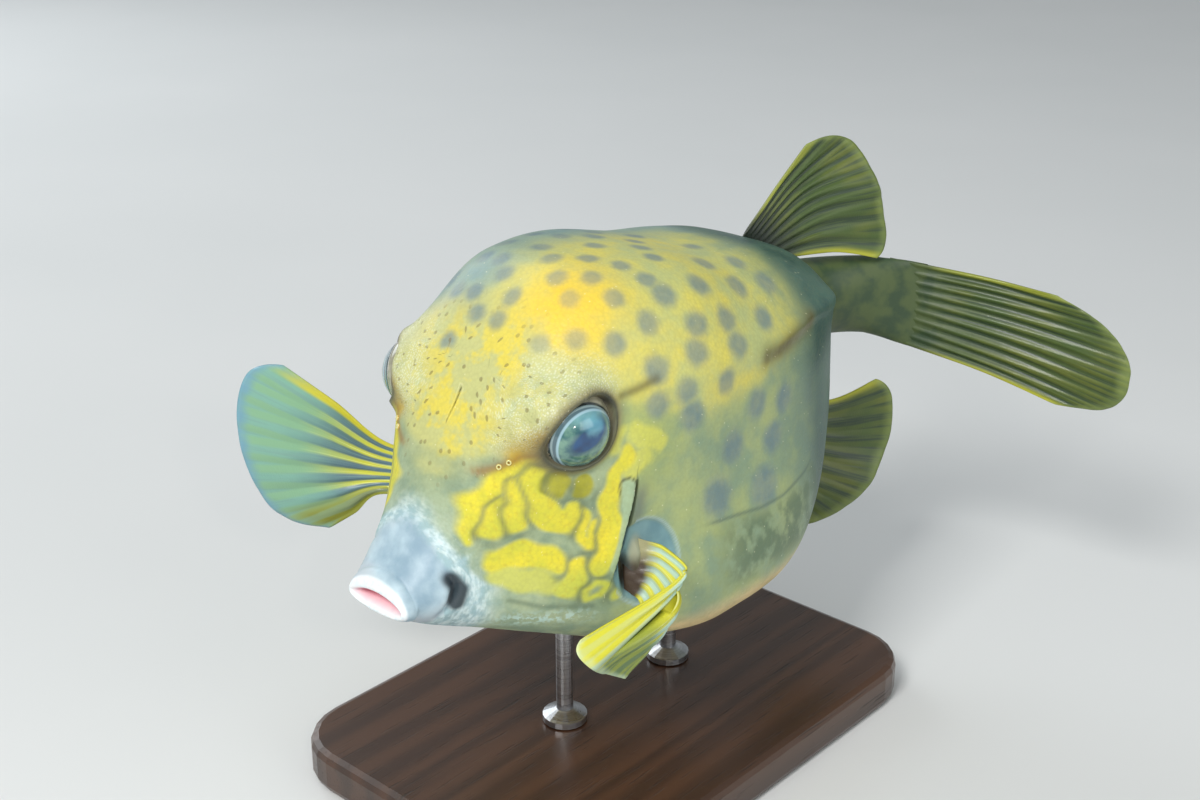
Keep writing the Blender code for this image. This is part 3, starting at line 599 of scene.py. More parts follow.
def patch_layers(patches):
    """Distance from the nearest patch, less than 0 inside it, and from the next one."""
    nearest = np.full(net_s.shape, 99.0)
    second = np.full(net_s.shape, 99.0)
    for patch in patches:
        away = line_distance(wobble_s, wobble_z, patch)
        second = np.where(away < nearest, nearest, np.minimum(second, away))
        nearest = np.minimum(nearest, away)
    return nearest, second


for name, patches in (("patch", CHEEK_PATCHES), ("olive", OLIVE_PATCHES), ("faint", FAINT_PATCHES)):
    markings[name] = -patch_layers(patches)[0]
all_away, next_away = patch_layers(CHEEK_PATCHES + OLIVE_PATCHES)
markings["net"] = hump((next_away - all_away) / 0.8) * ease((1.3 - all_away) / 1.0)
markings["net_ground"] = ease((2.4 - all_away) / 1.2)
print("cheek patches:", len(CHEEK_PATCHES) + len(OLIVE_PATCHES) + len(FAINT_PATCHES))

# %% [markdown]
# The broad fades come next. Each of them is a number from 0 to 1 that eases from one part of
# the body to another: back to flank, face to back, flank to rear, left side to far side. The
# fades to the rear and to the far side are painted shade, for light that falls off towards the
# tail and on the side turned from the lamps. A painted pool of light lies on the left of the
# crown, painted shade darkens the lower flank, and the belly's beige edge is lightened as
# painted light from below. Their widths are a few millimetres to a few centimetres, so the
# airbrushed look comes from here.

# %% Fades over the body
BACK_EDGE = [(9, 29), (14, 33), (18, 37), (24, 44), (34, 44), (42, 41)]
BACK_EDGE += [(50, 38), (62, 39), (75, 42), (90, 47), (105, 52)]
SUTURE = [(40, 20.5), (47, 19.4), (55, 18.4), (63, 17.2), (70, 17.0), (78, 18.2), (86, 21.0)]
suture = along_body(SUTURE)
brow_level = net_z - 37.5 - 0.5 * (net_s - 20)
beside_eye = ease((np.abs(net_x) - 7.5) / 5) * (share > 0.98)
from_behind_eye = np.hypot((net_s - 36.5) / 4.5, (net_z - 36.5) / 4.5)
markings |= {
    "back": ease((net_z - along_body(BACK_EDGE) + 3.5) / 8) * ease((92 - net_s) / 30),
    # painted pool of light on the left of the crown, where it faces the lamps
    "crown_highlight": ease((net_z - 42) / 8) * hump((net_s - 32) / 10) * hump((girth - 12) / 9),
    # painted shade: the fish's right side, turned from the lamps, goes grey-blue
    "far": ease((3 - girth) / 13) * ease((net_s - 12) / 14),
    "face": ease((33 - net_s) / 9),
    "brow": ease((2.25 - share) / 1.1) * ease(brow_level / 4) * ease((36 - net_s) / 5) * beside_eye,
    "behind_eye": ease((2.3 - from_behind_eye) / 1.8),
    # painted shade that deepens towards the tail
    "rear": ease((net_s - 64) / 34),
    # more painted shade at the very rear
    "rear_shade": ease((net_s - 79) / 8),
    "tail": ease((net_s - 95) / 9),
    "suture": hump((net_z - suture) / 0.30) * ease((net_s - 46) / 6) * ease((84 - net_s) / 6),
    # painted shade on the lower flank below the suture
    "under": ease((suture - net_z + 1.5) / 5.0) * ease((net_s - 46) / 14) * ease((net_z - 3) / 5),
    # the belly's own beige edge, lightened as painted light from below
    "belly": ease((5.2 - net_z) / 4.5) * ease((95 - net_s) / 12) * ease((net_s - 6) / 6),
}
print("the back's yellow reaches", round(float(net_s[markings["back"] > 0.5].max())), "mm back")

# %% [markdown]
# The small marks are lines and narrow zones: the edge of the muzzle and painted shade in the
# recess beside it, the dashes on the flank, the rims of the orbits with painted shade inside them
# and a painted shadow in their rear upper corners, the flap of the gills with painted shade in the
# slit and behind it, the soft skin behind them, painted shade in the hollow by the fin's root,
# and a band of painted glints under the cheek. They use the distances that pressed the fine
# forms in, so colour and form agree.

# %% Small marks
MUZZLE_EDGE = [(8, 4.5), (11, 6), (14, 7.8), (17, 8.6), (19.5, 8), (21.6, 7.4), (24.5, 7.6), (28, 8.4)]
MUZZLE_AXIS_Z = 17
muzzle_line = np.interp(net_z, *np.array(MUZZLE_EDGE, float).T)


def line_mark(path, width):
    """1 on a bent line over the flank and 0 past about twice its width."""
    return hump(line_distance(net_s, net_z, path) / width)


strip_away = line_distance(net_s, net_z, [(33.0, 30.6), (32.6, 26.0), (31.6, 21.6), (29.9, 17.4)])
eye_dash = line_mark([(34.0, 45.4), (37.0, 46.0), (40.5, 46.8)], 0.8)
rear_dash = line_mark([(67, 43.4), (72, 43.4), (78, 44.2), (83, 44.8)], 1.9)
rear_pocket = ease((net_s - 29.5) / 2.2) * ease((net_z - 43.0) / 2)
behind_gills = ease((net_z - 21.5) / 3) * ease((32 - net_z) / 4)
round_muzzle = np.maximum(np.hypot(net_x, net_z - MUZZLE_AXIS_Z), 1e-6)
markings |= {
    "muzzle": ease((muzzle_line - net_s) / 2.2 + 0.55),
    "pearl": ease((17.5 - net_s - 0.35 * np.maximum(net_z - 19, 0)) / 8),
    # painted shade in the recess behind the muzzle's corner
    "recess": line_mark([(8.0, 18.0), (9.0, 16.2), (8.4, 13.8)], 1.35),
    "nose_line": line_mark([(15.0, 34.4), (16.8, 35.4), (18.2, 36.4), (19.8, 38.0)], 0.55),
    "corner": line_mark([(18.6, 37.4), (19.6, 39.4), (20.2, 41.4)], 1.1),
    "dash": 0.8 * eye_dash + rear_dash,
    "rim": hump((share - 1.0) / 0.05),
    "rim_brown": hump((share - 1.05) / 0.13),
    # painted shadow in the rear upper corner of each orbit
    "orbit_corner_shadow": ease((1.12 - share) / 0.15) * rear_pocket,
    # painted shade on the skin inside each orbit
    "socket": ease((1.0 - share) / 0.06),
    # painted shade: the gill slit is near black
    "slit": np.maximum(slit, hump((behind_slit - 0.15) / 0.42) * slit_length),
    # grey painted shade just behind the gill slit
    "behind_slit": hump((behind_slit - 1.6) / 1.5) * behind_gills,
    "flap": ease((1.3 - strip_away) / 0.3) * (behind_slit < 0.25),
    "flap_edge": hump((strip_away - 1.35) / 0.2) * ease((net_z - 28.0) / 2),
    "soft": soft_skin,
    "soft_edge": hump((soft - 0.99) / 0.035) * (behind_slit > 1.5),
    "root": ease((1.25 - oval(net_s, net_z, *ROOT_LOBE)) / 0.5),
    "root_top": ease((net_z - 15.0) / 5),
    # painted shade in the hollow beside the fin's root
    "hollow": hollow,
    # painted highlights: a band of pale glints under the cheek
    "under_cheek_glints": hump((net_z - 9.0) / 1.3) * ease((net_s - 12) / 5) * ease((29 - net_s) / 6),
    "cheek_line": line_mark([(15.5, 13.2), (19.5, 11.6), (26.0, 10.8)], 0.5),
    "lip": np.zeros_like(net_s),
    "mouth": np.zeros_like(net_s),
    "girth": girth,
    "run": run,
    "turn_x": 10 * net_x / round_muzzle,
    "turn_z": 10 * (net_z - MUZZLE_AXIS_Z) / round_muzzle,
}
print("layers:", ", ".join(markings))

# %% [markdown]
# Lips and body now become one mesh of quads, with a small fan at each end. Two objects would
# show a line at the join, where their normals differ. The markings go with the mesh as layers
# of numbers, one for each knot. The one skin replaces every node of flesh in the frame.

# %% Join the skin
lip_round = np.hypot(lip_x, lip_z - MUZZLE_AXIS_Z)
NO_MARK = np.full_like(lip_x, -9)
LIP_LAYERS = {
    "lip": np.repeat(ease((0.76 - lip_at) / 0.10)[:, None], COLUMNS, axis=1),
    "mouth": np.repeat(ease((0.44 - lip_at) / 0.34)[:, None], COLUMNS, axis=1),
    "muzzle": np.ones_like(lip_s),
    "run": lip_s,
    "spot": NO_MARK,
    "patch": NO_MARK,
    "olive": NO_MARK,
    "faint": NO_MARK,
    "girth": np.sin(lip_angle) * np.ones_like(lip_s),
    "turn_x": 10 * lip_x / lip_round,
    "turn_z": 10 * (lip_z - MUZZLE_AXIS_Z) / lip_round,
}


def net_faces(rows, columns, closed=True):
    """Quads of a net, whose last column joins the first if it is closed."""
    knot = np.arange(rows * columns).reshape(rows, columns)
    if closed:
        knot = np.concatenate([knot, knot[:, :1]], axis=1)
    corners = [knot[:-1, :-1], knot[:-1, 1:], knot[1:, 1:], knot[1:, :-1]]
    return np.stack(corners, axis=-1).reshape(-1, 4)


def mesh_piece(name, points, faces, layers):
    """A smooth mesh object with a number layer for each of the layers given."""
    mesh = bpy.data.meshes.new(name)
    mesh.from_pydata(points.tolist(), [], faces)
    for layer, values in layers.items():
        made = mesh.attributes.new(layer, "FLOAT", "POINT")
        made.data.foreach_set("value", np.ascontiguousarray(values, np.float32).ravel())
    mesh.shade_smooth()
    piece = bpy.data.objects.new(name, mesh)
    bpy.context.scene.collection.objects.link(piece)
    return piece


def cap_ends(points, faces, layers, rows, columns):
    """Closes both ends of a tube of rings with a fan to a middle point."""
    first, last = len(points), len(points) + 1
    grid = points.reshape(rows, columns, 3)
    points = np.concatenate([points, [grid[0].mean(axis=0), grid[-1].mean(axis=0)]])
    end = (rows - 1) * columns
    for i in range(columns):
        j = (i + 1) % columns
        faces.append((first, j, i))
        faces.append((last, end + i, end + j))
    closed = {}
    for name, values in layers.items():
        ends = [values[:columns].mean(), values[-columns:].mean()]
        closed[name] = np.concatenate([values, ends])
    return points, faces, closed


all_rings = np.concatenate([lips, skin])
ROWS = len(all_rings)
layers = {}
for name, values in markings.items():
    front = LIP_LAYERS.get(name, np.zeros_like(lip_s))
    layers[name] = np.concatenate([front, values]).ravel()
faces = net_faces(ROWS, COLUMNS).tolist()
points, faces, layers = cap_ends(all_rings.reshape(-1, 3), faces, layers, ROWS, COLUMNS)
skin_piece = mesh_piece("boxfish_skin", points, faces, layers)
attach(skin_piece, ROOT)
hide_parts("lips", "muzzle", "head", "carapace", "caudal_peduncle")
print("skin faces:", len(skin_piece.data.polygons))

# %% [markdown]
# ## Arithmetic for materials
#
# A material is a net of nodes, and sums in it are easier to read as Python. This small class
# wraps the output of a node. Adding or multiplying two of them adds a Math node, and one
# method makes any other node from its type, settings and inputs. Colours are mixed with the
# Mix node, because a Math node would turn them grey.

# %% A socket that does sums
def screen(red, green, blue):
    """A colour read off a screen, as the linear values that shaders use."""
    values = np.array([red, green, blue]) / 255
    linear = np.where(values <= 0.04045, values / 12.92, ((values + 0.055) / 1.055) ** 2.4)
    return (*linear.tolist(), 1.0)


class Wire:
    """One output in a material's nodes, with arithmetic that adds Math nodes."""

    def __init__(self, tree, socket=None):
        self.tree = tree
        self.socket = socket

    def node(self, kind, settings=None, inputs=None, output=0):
        """Adds a node. Settings are set before its inputs, which are values or wires."""
        made = self.tree.nodes.new("ShaderNode" + kind)
        for name, value in (settings or {}).items():
            setattr(made, name, value)
        for name, value in (inputs or {}).items():
            if isinstance(value, Wire):
                self.tree.links.new(value.socket, made.inputs[name])
            else:
                made.inputs[name].default_value = value
        return Wire(self.tree, made.outputs[output])

    def math(self, operation, first, second):
        return self.node("Math", {"operation": operation}, {0: first, 1: second})

    def __add__(self, other):
        return self.math("ADD", self, other)

    __radd__ = __add__

    def __sub__(self, other):
        return self.math("SUBTRACT", self, other)

    def __rsub__(self, other):
        return self.math("SUBTRACT", other, self)

    def __mul__(self, other):
        return self.math("MULTIPLY", self, other)

    __rmul__ = __mul__

    def fade(self, low, high):
        """0 at low, 1 at high and smooth between, whichever of the two is greater."""
        if low > high:
            return 1 - self.fade(high, low)
        settings = {"interpolation_type": "SMOOTHSTEP"}
        return self.node("MapRange", settings, {"Value": self, "From Min": low, "From Max": high})

    def mix(self, without, with_all):
        """One colour where this wire is 0, another where it is 1."""
        settings = {"data_type": "RGBA", "clamp_factor": True}
        return self.node("Mix", settings, {0: self, 6: without, 7: with_all}, output=2)

    def tones(self, first, last, low=0.35, high=0.65):
        """The first tone where this wire is low, the last where it is high, as screen colours."""
        return self.fade(low, high).mix(screen(*first), screen(*last))

    def layer(self, name):
        """The number that the mesh carries under that name."""
        return self.node("Attribute", {"attribute_name": name}, output=2)

    def place(self):
        """The place in the object's own coordinates, in metres."""
        return self.node("TexCoord", output=3)

    def noise(self, scale, detail=2.0, at=None):
        inputs = {"Vector": at or self.place(), "Scale": scale, "Detail": detail}
        return self.node("TexNoise", {}, inputs)

    def grains(self, scale):
        """0 in the middle of each grain and more towards its edge."""
        return self.node("TexVoronoi", {}, {"Vector": self.place(), "Scale": scale})

    def dots(self, scale, output=0, at=None):
        """Random cells on a flat net of coordinates, so that each one has a round middle."""
        inputs = {"Vector": at, "Scale": scale, "Randomness": 0.85}
        return self.node("TexVoronoi", {"voronoi_dimensions": "2D"}, inputs, output)

    def vector(self, x, y, z=0.0):
        return self.node("CombineXYZ", {}, {0: x, 1: y, 2: z})


def new_material(name, **constants):
    """A new material with its Principled shader's sockets set, and a wire to start from."""
    made = bpy.data.materials.new(name)
    made.use_nodes = True
    shader = made.node_tree.nodes["Principled BSDF"]
    for socket, value in constants.items():
        shader.inputs[socket.replace("_", " ")].default_value = value
    return made, shader, Wire(made.node_tree)


def feed(shader, socket, wire):
    """Connects a wire to one of the shader's sockets."""
    wire.tree.links.new(wire.socket, shader.inputs[socket])


def bump(wire, height, distance):
    """A normal for a surface that rises by distance, in metres, where height goes from 0 to 1."""
    return wire.node("Bump", {}, {"Height": height, "Distance": distance, "Strength": 1.0})


def lay(colour, *marks):
    """The colour under plain tints, each given as a layer, its strength and a screen colour."""
    for layer, strength, tint in marks:
        colour = (colour.layer(layer) * strength).mix(colour, screen(*tint))
    return colour


print("materials can be written as sums")

# %% [markdown]
# ## The skin's material
#
# The back is bright ochre yellow with soft grey-blue spots, and a painted pool of light lies on
# its left side behind the eye. It fades along its edges into the flank. Painted shade turns it
# grey-blue on the fish's right side, turned from the lamps, and darker teal towards the tail.
# The flanks are grey-green with a hint of yellow and painted shade below the suture, the belly's
# edge is beige, lightened as painted light from below, and the muzzle is grey-blue inside a ring
# of pearly white. The cheek has lemon patches in a dark green net. Colours are laid on one after
# another, as a model maker would airbrush them, from the broad fades down to the finest dots.

# %% Base coat of the skin
skin_coat, skin_shader, w = new_material(
    "painted_skin", Roughness=0.46, Coat_Weight=0.15, Coat_Roughness=0.25, Subsurface_Weight=0.05
)
skin_shader.inputs["Subsurface Radius"].default_value = (0.002, 0.0012, 0.0008)
cloud = w.noise(70, 3)
mottle = w.noise(260, 4)
fine = w.noise(1000, 3)
uneven = cloud * 0.6 + mottle * 0.4
skin_plane = w.vector(w.layer("girth"), w.layer("run"))  # the skin laid flat, in millimetres

flank = uneven.tones((134, 158, 128), (172, 184, 122), 0.36, 0.64)
# painted shade: the flank turns darker teal towards the tail
shaded_rear_flank = uneven.tones((70, 102, 98), (98, 126, 110))
colour = w.layer("rear").mix(flank, shaded_rear_flank)
yellow = uneven.tones((188, 196, 130), (222, 210, 96), 0.34, 0.66)
# painted pool of light: a hotter yellow on the left of the crown
yellow = (w.layer("crown_highlight") * (0.5 + 0.6 * mottle)).mix(yellow, screen(248, 206, 44))
colour = (w.layer("back") * (0.7 + 0.6 * mottle)).fade(0.05, 0.95).mix(colour, yellow)
# painted shade: a cooler, darker tone on the fish's right side
far_side_shade = uneven.tones((112, 146, 152), (148, 170, 146))
colour = (w.layer("far") * (0.7 + 0.5 * mottle)).mix(colour, far_side_shade)
# painted shade below the suture, broken up by mottling
colour = (w.layer("under") * mottle.fade(0.36, 0.58) * 0.9).mix(colour, screen(92, 116, 88))
# painted shade: darker still at the very rear
colour = (w.layer("rear_shade") * 0.92).mix(colour, uneven.tones((44, 78, 74), (70, 104, 92)))
# beige belly edge, its own colour, made lighter as painted light from below
beige = mottle.tones((206, 190, 140), (234, 208, 156), 0.3, 0.7)
colour = w.layer("belly").mix(colour, beige)
print("base coat laid")

# %% [markdown]
# The head has grounds of its own. The forehead is yellow with grey-green islands, and the face
# below the brow is grey-green. A ring of pale streaks lies round the root of the muzzle, which
# is grey-blue, and the recess behind its corner is darkened with painted shade.

# %% Forehead, face and muzzle
skull = w.layer("face") * w.layer("back")
grey_islands = (0.6 * w.noise(130, 2) + 0.4 * w.noise(560, 3)).fade(0.44, 0.58)
colour = (skull * 0.9).mix(colour, screen(226, 208, 78))
colour = (skull * grey_islands * 0.65).mix(colour, screen(178, 190, 146))
cheek_ground = mottle.tones((142, 164, 140), (172, 186, 150))
below_back = (1 - w.layer("back")).fade(0.25, 0.75)
colour = (w.layer("face") * below_back).mix(colour, cheek_ground)
colour = (w.layer("behind_eye") * (0.2 + 0.6 * mottle)).mix(colour, screen(176, 184, 88))
streak_at = w.vector(w.layer("turn_x") * 0.6, w.layer("turn_z") * 0.6, w.layer("run") * 1.3)
streaks = 0.6 * w.noise(1.0, 4, at=streak_at) + 0.4 * w.noise(520, 2)
pearl = streaks.tones((160, 190, 196), (214, 232, 234), 0.40, 0.62)
colour = (w.layer("pearl") * (0.72 + 0.5 * cloud)).fade(0.10, 0.95).mix(colour, pearl)
muzzle = uneven.tones((136, 164, 182), (190, 212, 222), 0.36, 0.62)
muzzle = (cloud.fade(0.48, 0.66) * 0.35).mix(muzzle, screen(190, 180, 182))
colour = (w.layer("muzzle") + 0.9 * (streaks - 0.5)).fade(0.05, 0.95).mix(colour, muzzle)
# painted shade: the recess behind the muzzle's corner is darkened
colour = (w.layer("recess").fade(0.05, 0.75) * 0.95).mix(colour, screen(40, 50, 58))
print("face laid")

# %% [markdown]
# Spots are soft and let the ground show through, while the patches on the cheek are opaque and
# have clear edges. So a spot's mask fades over a third of its radius, and a patch's over half a
# millimetre. Fine noise is added to a distance before it fades, which makes an edge ragged.

# %% Spots and patches
spot_edge = w.layer("spot") + 0.45 * (w.noise(420, 3) - 0.5)
# spots are weaker under the painted shade towards the tail and under the painted light on the crown
spot_strength = (1 - 0.35 * w.layer("rear")) * (1 - w.layer("pearl")) * (1 - 0.4 * w.layer("crown_highlight"))
spot_colour = mottle.tones((98, 124, 138), (126, 142, 138))
colour = (spot_edge.fade(-0.35, 0.55) * spot_strength * 0.72).mix(colour, spot_colour)

ragged = 0.30 * (w.noise(500, 3) - 0.5)
lemon = uneven.tones((208, 204, 62), (238, 220, 52))
lemon = ((1 - w.layer("root_top")) * (0.5 + 0.5 * mottle)).mix(lemon, screen(198, 206, 92))
lemon = (fine.fade(0.5, 0.7) * 0.3).mix(lemon, screen(196, 172, 48))
net_ground = mottle.tones((134, 154, 126), (160, 176, 140))
net_colour = mottle.tones((92, 104, 70), (126, 134, 92))
colour = (w.layer("net_ground") * 0.8).mix(colour, net_ground)
colour = ((w.layer("faint") + 2 * ragged).fade(-0.9, 0.6) * 0.85).mix(colour, screen(208, 208, 92))
colour = (w.layer("patch") + ragged).fade(-0.6, 0.5).mix(colour, lemon)
olive = mottle.tones((146, 146, 34), (172, 168, 48))
colour = (w.layer("olive") + ragged).fade(-0.42, 0.42).mix(colour, olive)
colour = (w.layer("net") * 0.65).mix(colour, net_colour)
colour = lay(colour, ("cheek_line", 0.6, (96, 116, 92)))
# painted highlights: pale blue-white glints in a band under the cheek
colour = (w.layer("under_cheek_glints") * fine.fade(0.45, 0.60) * 0.8).mix(colour, screen(196, 224, 218))
print("spots and patches laid")

# %% [markdown]
# Over each eye lies a paler brow with small white grains. The forehead has tiny dark pores, two
# to three millimetres apart. They are the middles of random cells on the skin laid flat, where
# cells in space would cut the surface at any height and come out in every size.

# %% Brow, pores and the lines of the face
PORE_SCALE = 0.36  # cells to a millimetre
GRAIN_SCALE = 1.7
brow = mottle.tones((168, 186, 154), (206, 214, 170), 0.3, 0.7)
colour = (w.layer("brow") * 0.65).mix(colour, brow)
colour = lay(colour, ("corner", 0.8, (206, 170, 44)))
pore_middles = w.dots(PORE_SCALE, at=skin_plane).fade(0.17, 0.09)
with_pore = w.dots(PORE_SCALE, output=1, at=skin_plane).fade(0.40, 0.44)
pores = pore_middles * with_pore * skull * (1 - w.layer("pearl")) * (1 - w.layer("socket"))
colour = (pores * 0.6).mix(colour, screen(122, 108, 58))
pearls = w.dots(GRAIN_SCALE, at=skin_plane).fade(0.42, 0.18) * w.layer("brow")
colour = (pearls * mottle.fade(0.35, 0.55) * 0.6).mix(colour, screen(238, 244, 216))
colour = lay(colour, ("nose_line", 0.75, (150, 108, 40)))
colour = (w.layer("dash") * (0.4 + 0.9 * mottle)).mix(colour, screen(96, 88, 46))
colour = lay(colour, ("suture", 0.6, (64, 90, 84)))
print("brow and pores laid")

# %% [markdown]
# The next colours belong to forms: the dark rims of the orbits with painted shade inside them
# and a painted shadow in their rear upper corners, the flap of the gills with painted shade in
# the slit and a grey painted shade behind it, the blue-grey soft skin behind them, the brown
# root of the fin with painted shade in the hollow beside it, the olive tail stalk, the white
# lips and the pink mouth. Most of them are one plain tint on one layer.

# %% Orbits, gills, lips and tail
colour = lay(
    colour,
    ("rim_brown", 0.7, (128, 112, 74)),
    # painted shade inside the orbit, and a painted shadow in its rear upper corner
    ("socket", 0.95, (92, 84, 62)),
    ("orbit_corner_shadow", 0.9, (34, 30, 24)),
    ("rim", 0.85, (44, 46, 40)),
    # grey painted shade just behind the gill slit
    ("behind_slit", 0.7, (104, 114, 108)),
)
flap = mottle.mix(screen(150, 178, 142), screen(184, 202, 162))
colour = (w.layer("flap") * 0.85).mix(colour, flap)
colour = lay(colour, ("flap_edge", 0.85, (66, 72, 50)))
soft_colour = uneven.tones((98, 140, 154), (130, 170, 180))
colour = (w.layer("soft") * 0.9).mix(colour, soft_colour)
colour = lay(colour, ("soft_edge", 0.7, (176, 204, 214)))
root_height = w.layer("root_top") + 0.5 * (mottle - 0.5)
root_colour = root_height.tones((74, 58, 42), (158, 160, 134), 0.1, 0.9)
colour = (w.layer("root") * 0.95).mix(colour, root_colour)
# painted shade in the hollow by the fin's root and in the gill slit
colour = lay(colour, ("hollow", 0.95, (58, 44, 28)), ("slit", 1.0, (14, 16, 16)))
tail = mottle.tones((50, 72, 46), (76, 92, 52), 0.36, 0.62)
colour = w.layer("tail").mix(colour, tail)
white_lip = fine.tones((228, 240, 246), (248, 250, 250), 0.3, 0.7)
colour = w.layer("lip").mix(colour, white_lip)
colour = w.layer("mouth").mix(colour, screen(232, 158, 170))
print("small marks laid")

# %% [markdown]
# The skin of a boxfish is finely granular, and a few grains catch the light: they are painted
# highlights, pale dots in the colour. The grains are a bump of a tenth of a millimetre, too small
# for the mesh. The muzzle, the orbits, the soft skin and the tail stalk are smooth.

# %% Sparkle and relief of the skin
GLINT_SCALE = 1.3
GRAIN_HEIGHT = 0.0001  # metres
grain = w.grains(1500)
with_glint = w.dots(GLINT_SCALE, output=1, at=skin_plane).fade(0.86, 0.92)
glint = with_glint * w.dots(GLINT_SCALE, at=skin_plane).fade(0.24, 0.08)
dry = 1 - w.layer("recess").fade(0.0, 0.2)
for smooth_place in ("muzzle", "socket", "soft", "tail"):
    dry = dry * (1 - w.layer(smooth_place))
# painted highlights: pale dots where grains catch the light
colour = (glint * dry * 0.4).mix(colour, screen(248, 246, 206))
colour = (grain.fade(0.30, 0.80) * dry * 0.10).mix(colour, screen(126, 128, 84))
height = (1 - grain) * dry * 0.4 + fine * 0.3 + pearls * 0.6 - pores * 0.8
feed(skin_shader, "Base Color", colour)
feed(skin_shader, "Roughness", (0.36 + 0.22 * mottle) - 0.08 * w.layer("lip"))
feed(skin_shader, "Normal", bump(w, height, GRAIN_HEIGHT))
skin_piece.data.materials.append(skin_coat)
print("skin nodes:", len(skin_coat.node_tree.nodes))

# %% [markdown]
# ## Eyes
#
# A boxfish's eye is a big ball that looks sideways. Under a clear cornea there is a grey-green
# iris with silvery arcs, a thin pale blue rim and a dark blue pupil that is longer than it is
# high. A glass shell over a modelled iris would be truer to nature, but a glossy coat over a
# finely painted ball reads the same from a step away, and it keeps its looks in any renderer.
# The cornea is a low dome in the ball's front, so the coat has something to shine on.

# %% Eye balls
EYE_AXIS = np.array([0.956, -0.256, -0.139])  # where the left eye looks
IRIS_RADIUS = 5.8
CORNEA_RISE = 0.42
CORNEA_SLOPE = 2.4  # breadth of the dome's sloping edge
LIMB_GROOVE, LIMB_WIDTH = 0.12, 0.22
BALL_INSET = 0.05
PUPIL_SIZES = (3.2, 1.6)
PUPIL_TILT = math.radians(33)
PUPIL_OFFSET = (-0.1, 1.3)  # to the rear and up from the axis
RING_OFFSET = (0.35, -0.15)
# painted reflection: the place of the pale patch over the pupil's upper half
PUPIL_REFLECTION_PLACE = (0.6, 2.9, 0.0)  # the pale shine over the pupil's upper half
EYE_RINGS, EYE_COLUMNS = 100, 128

polar = np.linspace(0.5, 180, EYE_RINGS)[:, None] * math.pi / 180 * np.ones((1, EYE_COLUMNS))
turn = np.linspace(0, 2 * math.pi, EYE_COLUMNS, endpoint=False)[None, :] * np.ones((EYE_RINGS, 1))
radial = EYE_RADIUS * np.sin(polar)
front = polar < math.pi / 2
radius = EYE_RADIUS - BALL_INSET + CORNEA_RISE * ease((IRIS_RADIUS - radial) / CORNEA_SLOPE) * front
radius = radius - LIMB_GROOVE * hump((radial - IRIS_RADIUS - 0.1) / LIMB_WIDTH) * front


def eye_layers():
    """Distances from the axis, from the bright ring's middle and in pupil sizes, and the place."""
    back, up = radial * np.cos(turn), radial * np.sin(turn)
    pupil_back, pupil_up = back - PUPIL_OFFSET[0], up - PUPIL_OFFSET[1]
    long_way, short_way = turned(pupil_back, pupil_up, PUPIL_TILT)
    return {
        "axis_away": np.where(front, radial, 20 - radial),
        "ring_away": np.where(front, np.hypot(back - RING_OFFSET[0], up - RING_OFFSET[1]), 20),
        "pupil_away": np.hypot(long_way / PUPIL_SIZES[0], short_way / PUPIL_SIZES[1]) + 9 * (~front),
        "eye_back": back,
        "eye_up": up,
    }


def make_eye(side, name):
    """One eyeball as rings round the axis that it looks along, on the left for side 1."""
    axis = EYE_AXIS * np.array([side, 1, 1])
    axis /= np.linalg.norm(axis)
    back = np.array([0.0, 1.0, 0.0]) - axis[1] * axis
    back /= np.linalg.norm(back)
    up = np.cross(axis, back) * side
    directions = (
        np.cos(polar)[..., None] * axis
        + (np.sin(polar) * np.cos(turn))[..., None] * back
        + (np.sin(polar) * np.sin(turn))[..., None] * up
    )
    centre = on_spine(side * EYE_X, np.array(EYE_S), np.array(EYE_Z))
    points = centre + METRE * radius[..., None] * directions
    layers = {key: value.ravel() for key, value in eye_layers().items()}
    faces = net_faces(EYE_RINGS, EYE_COLUMNS).tolist()
    points, faces, layers = cap_ends(points.reshape(-1, 3), faces, layers, EYE_RINGS, EYE_COLUMNS)
    if side < 0:
        faces = [face[::-1] for face in faces]
    piece = mesh_piece(name, points, faces, layers)
    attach(piece, ROOT)
    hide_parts("eye_left" if side > 0 else "eye_right")
    return piece


eyes = [make_eye(1, "eyeball_left"), make_eye(-1, "eyeball_right")]
print("eye looks along", EYE_AXIS)

# %% [markdown]
# The iris is painted from the middle out: clouds of grey-green, a painted reflection that lightens
# its upper part, the blue pupil with a painted pale-blue reflection over it, then the bright ring,
# the limb and the membrane round it.

# %% Paint of the eyes
eye_coat, eye_shader, w = new_material("clear_eye", Roughness=0.14, Coat_Weight=1.0, Coat_Roughness=0.02)
away = w.layer("axis_away")
back, up = w.layer("eye_back"), w.layer("eye_up")
clouds = w.noise(1.0, 4, at=w.vector(back * 0.55, up * 0.55))
iris = clouds.tones((58, 104, 106), (112, 152, 134), 0.36, 0.64)
# painted reflection: the iris is lighter over its upper part
upper_reflection = (0.35 * back + 0.8 * up + clouds * 1.6).fade(1.6, 4.0)
iris = (upper_reflection * 0.6).mix(iris, screen(120, 176, 190))
pupil_away = w.layer("pupil_away")
iris = (pupil_away.fade(1.5, 1.0) * 0.7).mix(iris, screen(40, 78, 104))
pupil = w.noise(240, 2).tones((4, 34, 70), (14, 74, 124))
iris = pupil_away.fade(1.12, 0.85).mix(iris, pupil)
